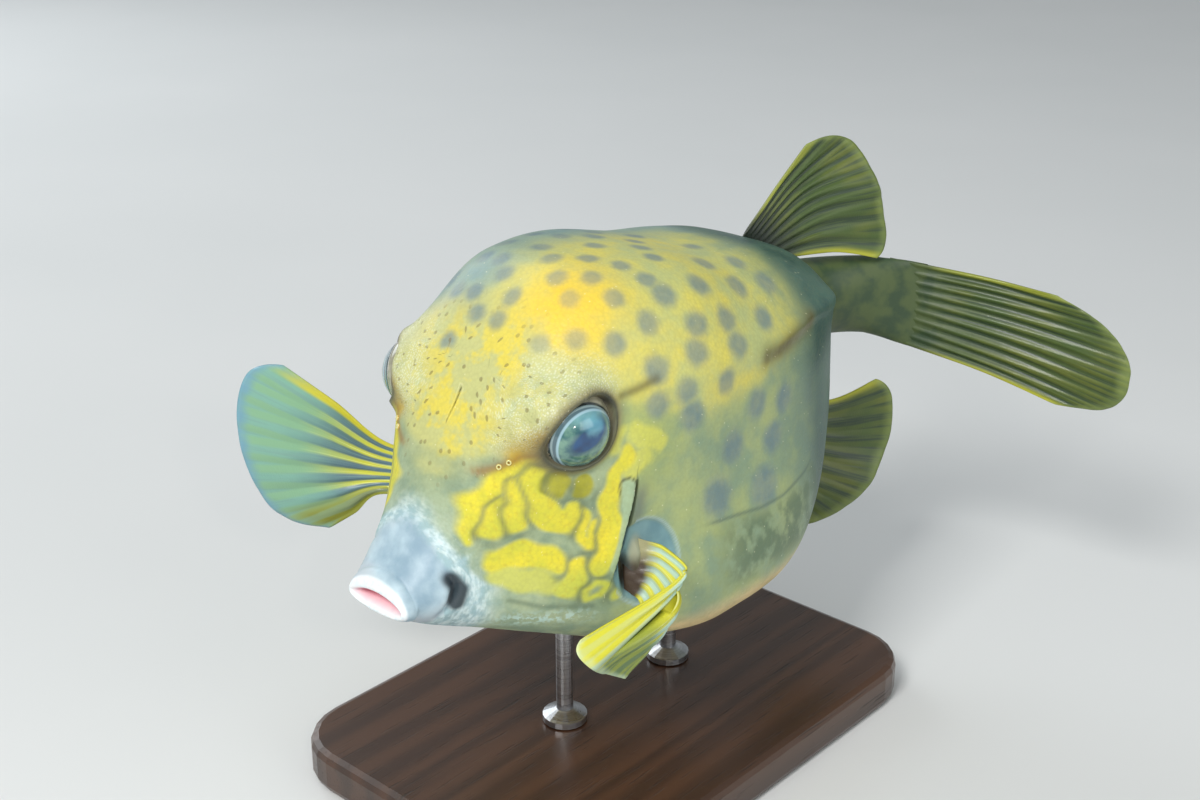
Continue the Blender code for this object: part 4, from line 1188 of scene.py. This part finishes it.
# painted reflection: a pale-blue patch over the pupil's upper half
pupil_reflection = w.node("VectorMath", {"operation": "DISTANCE"}, {0: w.vector(back * 0.8, up), 1: PUPIL_REFLECTION_PLACE}, 1)
iris = ((pupil_reflection + 1.6 * (clouds - 0.5)).fade(2.0, 0.5) * 0.6).mix(iris, screen(128, 196, 214))
ring_away = w.layer("ring_away")
iris = ring_away.fade(5.05, 5.35).mix(iris, screen(74, 100, 108))
ring = ring_away.fade(4.95, 5.1) * ring_away.fade(5.42, 5.25)
iris = (ring * 0.75).mix(iris, screen(168, 202, 216))
limb = away.fade(5.35, 5.5) * away.fade(5.75, 5.6)
iris = (limb * 0.6).mix(iris, screen(160, 182, 184))
membrane = clouds.tones((128, 126, 104), (166, 162, 138))
iris = away.fade(5.68, 5.76).mix(iris, screen(44, 54, 54))
iris = away.fade(5.92, 6.10).mix(iris, membrane)
feed(eye_shader, "Base Color", iris)
for piece in eyes:
    piece.data.materials.append(eye_coat)
print("eye nodes:", len(eye_coat.node_tree.nodes))

# %% [markdown]
# ## Nostrils
#
# In front of each eye lie two tiny nostrils, each a short tube with a pale edge and painted shade
# in its bore. They are turned shapes, a profile spun round an axis, sunk into the skin along its
# normal.

# %% Nostril tubes
NOSTRIL_PLACES = [(17.9, 36.3), (16.9, 35.5)]
NOSTRIL_COLUMNS = 24
# Radius, height and painted shade, from the foot over the rim to the bottom of the bore
NOSTRIL_PROFILE = [
    (0.62, -0.4, 0),
    (0.52, 0.02, 0),
    (0.42, 0.24, 0),
    (0.32, 0.32, 0),
    (0.23, 0.26, 0.3),
    (0.19, 0.08, 1),
    (0, -0.05, 1),
]


def flank_frame(s, z, side):
    """World point on the flank and the outward direction there."""
    step = 0.4
    here = on_spine(side * flank_x(s, z), np.array(s), np.array(z))
    along = on_spine(side * flank_x(s + step, z), np.array(s + step), np.array(z)) - here
    up = on_spine(side * flank_x(s, z + step), np.array(s), np.array(z + step)) - here
    out = np.cross(along, up) * side
    return here, out / np.linalg.norm(out)


nostril_coat, nostril_shader, w = new_material("nostril_skin", Roughness=0.4, Coat_Weight=0.2)
rim = w.layer("rise").fade(0.05, 0.28)
ochre = w.noise(800).mix(screen(190, 150, 50), screen(206, 172, 70))
nostril_colour = rim.mix(ochre, screen(220, 216, 150))
# painted shade: the bore is darker towards its bottom
feed(nostril_shader, "Base Color", (w.layer("bore") * 0.7).mix(nostril_colour, screen(140, 118, 60)))
for side, side_name in ((1, "left"), (-1, "right")):
    for number, (s, z) in enumerate(NOSTRIL_PLACES):
        here, out = flank_frame(s, z, side)
        first = np.cross(out, [0, 0, 1.0])
        first /= np.linalg.norm(first)
        second = np.cross(out, first)
        spin = np.linspace(0, 2 * math.pi, NOSTRIL_COLUMNS, endpoint=False)[:, None]
        rings = [
            here + METRE * (r * (np.cos(spin) * first + np.sin(spin) * second) + h * out)
            for r, h, _ in NOSTRIL_PROFILE
        ]
        _, rise, bore = np.repeat(np.array(NOSTRIL_PROFILE), NOSTRIL_COLUMNS, axis=0).T
        quads = net_faces(len(rings), NOSTRIL_COLUMNS).tolist()
        layers = {"rise": rise, "bore": bore}
        name = f"nostril_{side_name}_{number + 1}"
        piece = mesh_piece(name, np.concatenate(rings), quads, layers)
        piece.data.materials.append(nostril_coat)
        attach(piece, ROOT)
print("nostrils:", 2 * len(NOSTRIL_PLACES))

# %% [markdown]
# ## Fins
#
# Each fin is a fan of soft rays in a thin membrane. Rays branch towards their tips, and the
# membrane sags a little between them. A flat card with a picture would look like paper from
# the side, so each fin is a closed sheet whose thickness rises over every ray. Its middle
# surface runs through a few rails: the root, a bend or two, and the outer edge.

# %% A fin from rails
FIN_ROWS = 72
POINTS_A_RAY = 18
MEMBRANE = 0.22
RAY_THICKNESS = (0.50, 0.22)  # at the root and at the tip
RAY_WIDTH = (0.30, 0.15)  # at the root and at the tip, as shares of the space between rays
FIRST_RAY, RAY_SPAN = 0.02, 0.96  # where the rays are over the fin's breadth
BRANCH_START, BRANCH_SPREAD = 0.40, 0.23  # where the rays part, and how far by the tip
ROOT_SUNK = 0.09  # share of the fin's length that runs on into the skin
CORNER_WIDTH = 0.16  # share of the fin's breadth over which each corner is rounded


def towards_tip(root_and_tip, v):
    """A size that goes evenly from its value at the root to the one at the tip."""
    root, tip = root_and_tip
    return root + (tip - root) * np.maximum(v, 0)


def along_rail(rail, u):
    """Points of a smooth curve through a rail's points, at shares u of the way along it."""
    return smooth_curve(np.linspace(0, 1, len(rail)), rail, u)


def fin_surface(rails, knots, u, v):
    """Points of a fin's middle surface. Each ray passes the rails in turn, at the knots."""
    across = [along_rail(rail, u) for rail in rails]
    stacked = np.reshape(across, (len(rails), -1))
    inner = smooth_curve(knots, stacked, np.maximum(v, 0))
    step = 0.02
    start, ahead = smooth_curve(knots, stacked, np.array([0.0, step]))
    slope = (ahead - start) / step
    inner = inner + np.minimum(v, 0)[:, None] * slope[None]
    return inner.reshape(len(v), len(u), 3).transpose(1, 0, 2)


def ray_ridges(u, v, rays):
    """1 on the middle of every ray and 0 between. Each ray parts into two towards its tip."""
    away = np.full((len(u), len(v)), 9.0)
    width = towards_tip(RAY_WIDTH, v)[None, :]
    part = (BRANCH_SPREAD * ease((v - BRANCH_START) / 0.55))[None, :]
    for ray in range(rays):
        place = (FIRST_RAY + RAY_SPAN * ray / (rays - 1)) * rays
        for branch in (-1, 1):
            away = np.minimum(away, np.abs(u[:, None] * rays - place - branch * part) / width)
    return hump(away)


def round_corners(middle, u, v, corner):
    """Draws the rays near the fin's two sides in, so that its outer corners are round."""
    side = np.clip(1 - np.minimum(u, 1 - u) / CORNER_WIDTH, 0, 1)
    for i, reach in enumerate(1 - corner * side**2.5):
        if reach < 1:
            at = np.where(v > 0, v * reach, v)
            middle[i] = np.stack([np.interp(at, v, middle[i, :, k]) for k in range(3)], axis=-1)
    return middle


def make_fin(name, node, rails, knots, rays, fold=0.14, ripple=0.0, corner=0.12, dark_root=1.0):
    """A closed sheet over the rails. It folds between rays and can ripple at its outer edge."""
    u = np.linspace(0, 1, rays * POINTS_A_RAY + 1)
    v = np.linspace(-ROOT_SUNK, 1, FIN_ROWS)
    ridge = ray_ridges(u, v, rays) * ease((v + 0.02) / 0.10)[None, :]
    middle = round_corners(fin_surface(rails, knots, u, v), u, v, corner)
    normal = np.cross(np.gradient(middle, axis=0), np.gradient(middle, axis=1))
    normal /= np.linalg.norm(normal, axis=-1, keepdims=True)
    wave = np.cos((u[:, None] - FIRST_RAY) / RAY_SPAN * (rays - 1) * 2 * math.pi)
    grown = ease((v - 0.04) / 0.3)[None, :] * (1 - 0.7 * ease((v - 0.5) / 0.5))[None, :]
    swing = np.sin(u[:, None] * 11.0 + 1.3) * ease((v - 0.4) / 0.6)[None, :]
    middle = middle + METRE * (fold * wave * grown + ripple * swing)[..., None] * normal
    half = METRE * (MEMBRANE + ridge * towards_tip(RAY_THICKNESS, v)[None, :]) / 2
    half = half * (0.35 + 0.65 * ease((1 - v) / 0.04))[None, :]
    front = middle + normal * half[..., None]
    back = middle - normal * half[..., None]
    count = u.size * v.size
    quads = net_faces(u.size, v.size, closed=False)
    grid = np.arange(count).reshape(u.size, v.size)
    border = np.concatenate([grid[:, 0], grid[-1, 1:], grid[-2::-1, -1], grid[0, -2:0:-1]])
    nearby = np.roll(border, -1)
    edge = np.stack([border, border + count, nearby + count, nearby], axis=-1)
    faces = np.concatenate([quads, quads[:, ::-1] + count, edge[:, ::-1]]).tolist()
    layers = {
        "ray": np.tile(ray_ridges(u, v, rays).ravel(), 2),
        "out": np.tile(np.tile(v, u.size), 2),
        "across": np.tile(np.repeat(u, v.size), 2),
        "dark_root": np.full(2 * count, dark_root),
    }
    points = np.concatenate([front.reshape(-1, 3), back.reshape(-1, 3)])
    piece = mesh_piece(name, points, faces, layers)
    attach(piece, ROOT)
    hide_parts(node)
    return piece


print("a fin has", FIN_ROWS, "rows of points")

# %% [markdown]
# The pectoral fins are the ones that steer. The right one is spread wide, and the photograph
# shows only its front. The left one is folded: it leaves its root to the rear, bends at once,
# and comes forward and down in a closed bundle of six rays.

# %% Pectoral fins
ROOT_GAP = 0.4
ROOT_PLACES = [(35.4, 20.4), (34.2, 17.6), (33.0, 14.8), (31.9, 12.0)]


def pectoral_root(side):
    """The rail of a pectoral fin's root, on the lobe behind the gill opening."""
    return free_points([(side * (flank_x(s, z) + ROOT_GAP), s, z) for s, z in ROOT_PLACES])


right_neck = free_points([(-30.2, 32.6, 20.8), (-30.6, 31.2, 18), (-30.6, 30.2, 15), (-30.2, 29.4, 12.4)])
right_tip = free_points(
    [(-45.5, 16, 40), (-48, 12.2, 35), (-49, 11, 27), (-48.5, 12, 18), (-47, 16, 8.5), (-42, 22.5, 3)]
)
five = np.linspace(0, 1, 5)
half_way = (along_rail(right_neck, five) + along_rail(right_tip, five)) / 2
right_fin = make_fin(
    "pectoral_fan_right",
    "pectoral_fin_right",
    [pectoral_root(-1), right_neck, half_way, right_tip],
    (0, 0.13, 0.565, 1),
    rays=8,
    fold=0.34,
    corner=0.11,
)
left_fin = make_fin(
    "pectoral_fan_left",
    "pectoral_fin_left",
    [
        pectoral_root(1),
        free_points([(29.8, 36.4, 20), (29.6, 35.5, 17.4), (29.2, 33.9, 14.6), (28.6, 31.8, 11.4)]),
        free_points([(34.8, 36.3, 17.8), (34.6, 34.6, 15.6), (33.6, 32.4, 12.4), (31.2, 30.0, 8.6)]),
        free_points(
            [(33.5, 10.5, 14.2), (34.5, 12.3, 10.6), (34.5, 16.2, 7.2), (33.5, 20.8, 4.2), (31.5, 24.4, 2)]
        ),
    ],
    (0, 0.12, 0.28, 1),
    rays=6,
    fold=0.32,
    ripple=0.7,
    corner=0.06,
)

# %% [markdown]
# The dorsal and anal fins sit far back and row together, so both are swept to the left. The
# tail fin has ten rays and leaves the stalk along the bent spine, so its rails are given in the
# fish's own coordinates and bend with it.

# %% Dorsal, anal and tail fins
dorsal_root = [(0, s, midline_z(s, True) + ROOT_GAP) for s in (94.5, 97.5, 100.5, 103.5)]
dorsal_fin = make_fin(
    "dorsal_fan",
    "dorsal_fin",
    [
        free_points(dorsal_root),
        free_points([(1.5, 103, 62), (3, 107.5, 60), (5, 111, 55), (6.5, 113.5, 46.5)]),
        free_points(
            [(3.5, 110.5, 70.5), (7, 119, 67.8), (10.5, 122, 61), (12, 123.5, 54.5), (14, 125, 43.5)]
        ),
    ],
    (0, 0.5, 1),
    rays=9,
    fold=0.22,
    ripple=0.5,
)
anal_root = [(0, s, midline_z(s, False) - ROOT_GAP) for s in (95.5, 97.6, 99.6, 101.6)]
anal_fin = make_fin(
    "anal_fan",
    "anal_fin",
    [
        free_points(anal_root),
        free_points([(3, 101.5, -2), (6, 107, 1.5), (7.5, 112, 7.5), (7.5, 114, 15)]),
        free_points(
            [(7, 105.5, -12.5), (13, 114.5, -7.5), (16.5, 121, -0.5), (16, 126, 8.5), (15, 126, 20)]
        ),
    ],
    (0, 0.5, 1),
    rays=9,
    fold=0.22,
    ripple=0.5,
)
TAIL_REACH = np.array([32.5, 39.5, 44.0, 46.2, 45.6, 42.0, 34.5])
TAIL_SPREAD = np.array([11.0, 8.2, 4.6, 0.2, -4.6, -8.8, -11.6])
TAIL_ROOT = np.linspace(8.6, -8.7, 7)
TAIL_LEVEL = 36.0
tail_start = PEDUNCLE_END + ROOT_GAP
level = np.zeros(7)
half_way_up = TAIL_LEVEL + 0.42 * TAIL_ROOT + 0.55 * TAIL_SPREAD
tail_fin = make_fin(
    "tail_fan",
    "caudal_fin",
    [
        on_spine(level, tail_start + level, TAIL_LEVEL + TAIL_ROOT),
        on_spine(level, tail_start + 0.5 * TAIL_REACH, half_way_up),
        on_spine(level, tail_start + TAIL_REACH, TAIL_LEVEL + TAIL_SPREAD),
    ],
    (0, 0.5, 1),
    rays=10,
    fold=0.22,
    ripple=0.4,
    corner=0.06,
    dark_root=0.0,
)
print("fins made: 5")

# %% [markdown]
# ## Paint of the fins
#
# The right pectoral fin has lemon rays in a blue-grey membrane that turns pale green towards
# the edge. The left one is brown at its root, pale with lemon rays at its bend, and lemon and
# olive side by side at its tip. The other fins are olive with darker stripes. A fin could let
# light through, but the thin sheets look right with a pale membrane. All three paints start
# from the same layers and the same fine stripes, so the fins look related, as on the animal.

# %% Fin materials
def fin_paint(name):
    """A new fin material with its shader, and the wires that every fin's colours start from."""
    made, shader, w = new_material(name, Roughness=0.42, Coat_Weight=0.12, Subsurface_Weight=0.12)
    shader.inputs["Subsurface Radius"].default_value = (0.001, 0.001, 0.0006)
    out = w.layer("out") + 0.14 * (w.noise(160, 3) - 0.5)
    across = w.layer("across")
    stripe = w.noise(1.0, 3, at=w.vector(across * 90, w.layer("out") * 2))
    on_ray = (w.layer("ray") + 0.25 * (w.noise(380, 3) - 0.5)).fade(0.12, 0.72)
    joints = w.noise(1.0, 2, at=w.vector(w.layer("out") * 120, across * 40))
    feed(shader, "Normal", bump(w, w.layer("ray") * 0.3 + joints * 0.4 + stripe * 0.3, 0.0001))
    return made, shader, w, out, across, stripe, on_ray


lemon_fin, shader, w, out, across, stripe, on_ray = fin_paint("lemon_fin")
ray_colour = out.tones((212, 212, 66), (138, 184, 148), 0.22, 0.68)
ray_colour = (stripe.fade(0.50, 0.66) * out.fade(0.7, 0.3) * 0.6).mix(ray_colour, screen(226, 236, 176))
web_colour = out.tones((88, 116, 136), (132, 182, 166), 0.30, 0.80)
web_colour = (stripe.fade(0.46, 0.64) * 0.45).mix(web_colour, screen(126, 164, 156))
colour = on_ray.mix(web_colour, ray_colour)
colour = (out.fade(0.93, 1.0) * 0.7).mix(colour, screen(112, 158, 190))
low_part = across.fade(0.78, 0.90) * out.fade(1.1, 0.8)
colour = (low_part * (0.6 + 0.4 * on_ray)).mix(colour, screen(140, 144, 42))
colour = (across.fade(0.070, 0.040) * out.fade(1.0, 0.7)).mix(colour, screen(214, 206, 62))
feed(shader, "Base Color", (out.fade(0.14, 0.04) * 0.8).mix(colour, screen(128, 112, 70)))

banded_fin, shader, w, out, across, stripe, on_ray = fin_paint("banded_fin")
bright = on_ray.mix(screen(176, 206, 190), screen(218, 214, 56))
far_half = across.fade(0.24, 0.42) * out.fade(0.48, 0.70)
tip = on_ray.mix(screen(98, 124, 76), screen(142, 156, 62))
colour = far_half.mix(bright, tip)
lemon_tip = across.fade(0.36, 0.20) * out.fade(0.40, 0.60)
colour = (lemon_tip * 0.75).mix(colour, screen(226, 222, 58))
colour = (stripe.fade(0.5, 0.62) * out.fade(0.8, 0.5) * 0.35).mix(colour, screen(214, 232, 206))
colour = (out.fade(0.93, 0.99) * 0.6).mix(colour, screen(206, 226, 196))
brown_root = across.tones((160, 156, 116), (66, 50, 36), 0.15, 0.5)
feed(shader, "Base Color", out.fade(0.13, 0.04).mix(colour, brown_root))

olive_fin, shader, w, out, across, stripe, on_ray = fin_paint("olive_fin")
ray_colour = w.noise(90, 2).tones((72, 94, 38), (104, 114, 42))
web_colour = stripe.tones((44, 64, 44), (72, 90, 46), 0.40, 0.60)
colour = (on_ray * 0.85).mix(web_colour, ray_colour)
colour = (across.fade(0.06, 0.02) * 0.7).mix(colour, screen(158, 164, 48))
colour = (across.fade(0.95, 0.99) * 0.8).mix(colour, screen(190, 190, 46))
colour = (out.fade(0.92, 1.0) * 0.5).mix(colour, screen(140, 156, 84))
peduncle = w.noise(260, 4).tones((50, 72, 46), (76, 92, 52), 0.36, 0.62)
root_colour = w.layer("dark_root").mix(peduncle, screen(30, 42, 34))
feed(shader, "Base Color", (out.fade(0.38, 0.04) * 0.97).mix(colour, root_colour))

right_fin.data.materials.append(lemon_fin)
left_fin.data.materials.append(banded_fin)
for piece in (dorsal_fin, anal_fin, tail_fin):
    piece.data.materials.append(olive_fin)
print("fin materials: 3")

# %% [markdown]
# ## The stand
#
# The swimming fish is held by a plain stand: a dark stained hardwood plate and two turned
# steel rods. Their solids are right as they are, so they only get materials. Wood is rings of
# growth cut along the grain, stretched noise in one direction with fine pores.

# %% Stand materials
def scaled(vector, x, y, z):
    """A vector wire with its three numbers multiplied, which stretches a pattern."""
    return vector.node("VectorMath", {"operation": "MULTIPLY"}, {0: vector, 1: (x, y, z)})


wood, wood_shader, w = new_material("stained_wood", Roughness=0.38, Coat_Weight=0.25, Coat_Roughness=0.2)
place = w.place()
bend = w.noise(1.0, 2, at=scaled(place, 60, 5, 60))
rings = w.node("TexWave", {"wave_type": "BANDS", "bands_direction": "X"}, {
    "Vector": scaled(place, 1, 0.06, 1),
    "Scale": 46.0,
    "Distortion": 9.0,
    "Detail": 3.0,
    "Detail Scale": 1.6,
})
wood_pores = w.noise(1.0, 2, at=scaled(place, 2600, 90, 2600)).fade(0.60, 0.72)
wood_colour = (0.5 * rings + 0.5 * bend).tones((56, 37, 26), (78, 52, 36), 0.1, 0.9)
feed(wood_shader, "Base Color", (wood_pores * 0.6).mix(wood_colour, screen(30, 20, 14)))
feed(wood_shader, "Roughness", 0.32 + 0.2 * wood_pores)
feed(wood_shader, "Normal", bump(w, 1 - wood_pores, 0.00005))

steel, steel_shader, w = new_material("turned_steel", Metallic=1.0, Roughness=0.28)
lathe_marks = w.noise(1.0, 2, at=scaled(w.place(), 90, 90, 5200))
feed(steel_shader, "Base Color", lathe_marks.tones((176, 178, 182), (204, 206, 208), 0.3, 0.7))
feed(steel_shader, "Roughness", 0.22 + 0.16 * lathe_marks)
feed(steel_shader, "Normal", bump(w, lathe_marks, 0.00002))
for node, finish in (("stand_base", wood), ("stand_rod_front", steel), ("stand_rod_rear", steel)):
    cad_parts[node].data.materials.clear()
    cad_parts[node].data.materials.append(finish)
print("stand finished")

# %% [markdown]
# ## Floor, light and camera
#
# The model stands on a pale sweep of paper in soft light, as in a studio. The floor rises
# behind it in one curve, so no edge shows.

# %% Floor
SWEEP = [(-3.0, 0), (1.6, 0), (2.1, 0.08), (2.4, 0.32), (2.55, 0.8), (2.6, 3.2)]  # y and z, metres
sweep_at = np.linspace(0, 1, 80)
sweep = smooth_curve(np.linspace(0, 1, len(SWEEP)), SWEEP, sweep_at)
rows = [np.column_stack([np.full(len(sweep), x), sweep]) for x in (-5.0, -1.5, 1.5, 5.0)]
floor = mesh_piece(
    "studio_floor", np.concatenate(rows), net_faces(4, len(sweep), closed=False).tolist(), {}
)
paper, paper_shader, w = new_material("pale_paper", Roughness=0.85)
feed(paper_shader, "Base Color", w.noise(8, 2).mix(screen(218, 220, 220), screen(226, 227, 227)))
floor.data.materials.append(paper)
floor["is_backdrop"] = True
print("floor made")

# %% [markdown]
# The key light is a soft panel in front and above, near the camera, as the flash was in the
# photograph. A fill from the fish's left and a cool panel from its right keep the shadows
# open, and a very small lamp puts a highlight in the eye. A lit sky alone would look flat.

# %% Light
from mathutils import Vector

scene = bpy.context.scene
scene.view_settings.view_transform = "Standard"  # keeps the yellow as strong as it is
world = bpy.data.worlds.new("studio")
world.use_nodes = True
world.node_tree.nodes["Background"].inputs["Color"].default_value = (0.92, 0.97, 1.0, 1.0)
world.node_tree.nodes["Background"].inputs["Strength"].default_value = 0.42
scene.world = world


def soft_light(name, place, aim, size, power, colour=(1.0, 1.0, 1.0)):
    """A rectangular panel of light at one place, turned to face another."""
    light = bpy.data.lights.new(name, "AREA")
    light.shape = "RECTANGLE"
    light.size, light.size_y = size
    light.energy = power
    light.color = colour
    holder = bpy.data.objects.new(name, light)
    scene.collection.objects.link(holder)
    holder.location = place
    direction = Vector(place) - Vector(aim)
    holder.rotation_euler = direction.to_track_quat("Z", "Y").to_euler()
    return holder


MODEL_MIDDLE = (0.0, 0.0, 0.07)
soft_light("key", (0.16, -0.70, 0.74), MODEL_MIDDLE, (0.3, 0.3), 6.6, (1.0, 0.99, 0.96))
soft_light("fill", (0.85, 0.05, 0.40), MODEL_MIDDLE, (0.6, 0.6), 1.6)
soft_light("left_edge", (-0.8, 0.1, 0.5), MODEL_MIDDLE, (0.5, 0.7), 2.4, (0.92, 0.97, 1.0))
soft_light("flash", (0.27, -0.22, 0.24), MODEL_MIDDLE, (0.02, 0.02), 0.12, (1.0, 0.93, 0.8))

# %% [markdown]
# The camera has the photograph's angle, distance and framing. They were fitted to the outline of
# the fish. The lens is worked out from the fitted focal length in pixels.

# %% Camera
CAMERA_AZIMUTH, CAMERA_ELEVATION = math.radians(42), math.radians(23)
CAMERA_DISTANCE = 303.0  # from the point it aims at
CAMERA_AIM = (-0.6, 54.5, 31.6)  # in the fish's coordinates
FOCAL_PIXELS, PHOTO_WIDTH, SENSOR_WIDTH = 1700.0, 1200.0, 36.0

lens = bpy.data.cameras.new("camera")
lens.sensor_width = SENSOR_WIDTH
lens.lens = FOCAL_PIXELS / PHOTO_WIDTH * SENSOR_WIDTH
lens.clip_start = 0.01
camera = bpy.data.objects.new("camera", lens)
scene.collection.objects.link(camera)
away = np.array(
    [
        math.sin(CAMERA_AZIMUTH) * math.cos(CAMERA_ELEVATION),
        -math.cos(CAMERA_AZIMUTH) * math.cos(CAMERA_ELEVATION),
        math.sin(CAMERA_ELEVATION),
    ]
)
camera.location = free_points(np.array(CAMERA_AIM) + CAMERA_DISTANCE * away)
camera.rotation_euler = (math.pi / 2 - CAMERA_ELEVATION, 0, CAMERA_AZIMUTH)
scene.camera = camera
print("camera at", tuple(round(v, 3) for v in camera.location))

# %% [markdown]
# Last, the sizes of the finished model are written down beside those of the solids, so that
# both can be compared after each render.

model_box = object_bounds()
for name, box in (("solids", cad_box), ("model", model_box)):
    print(name, [tuple(round(v, 4) for v in corner) for corner in box])
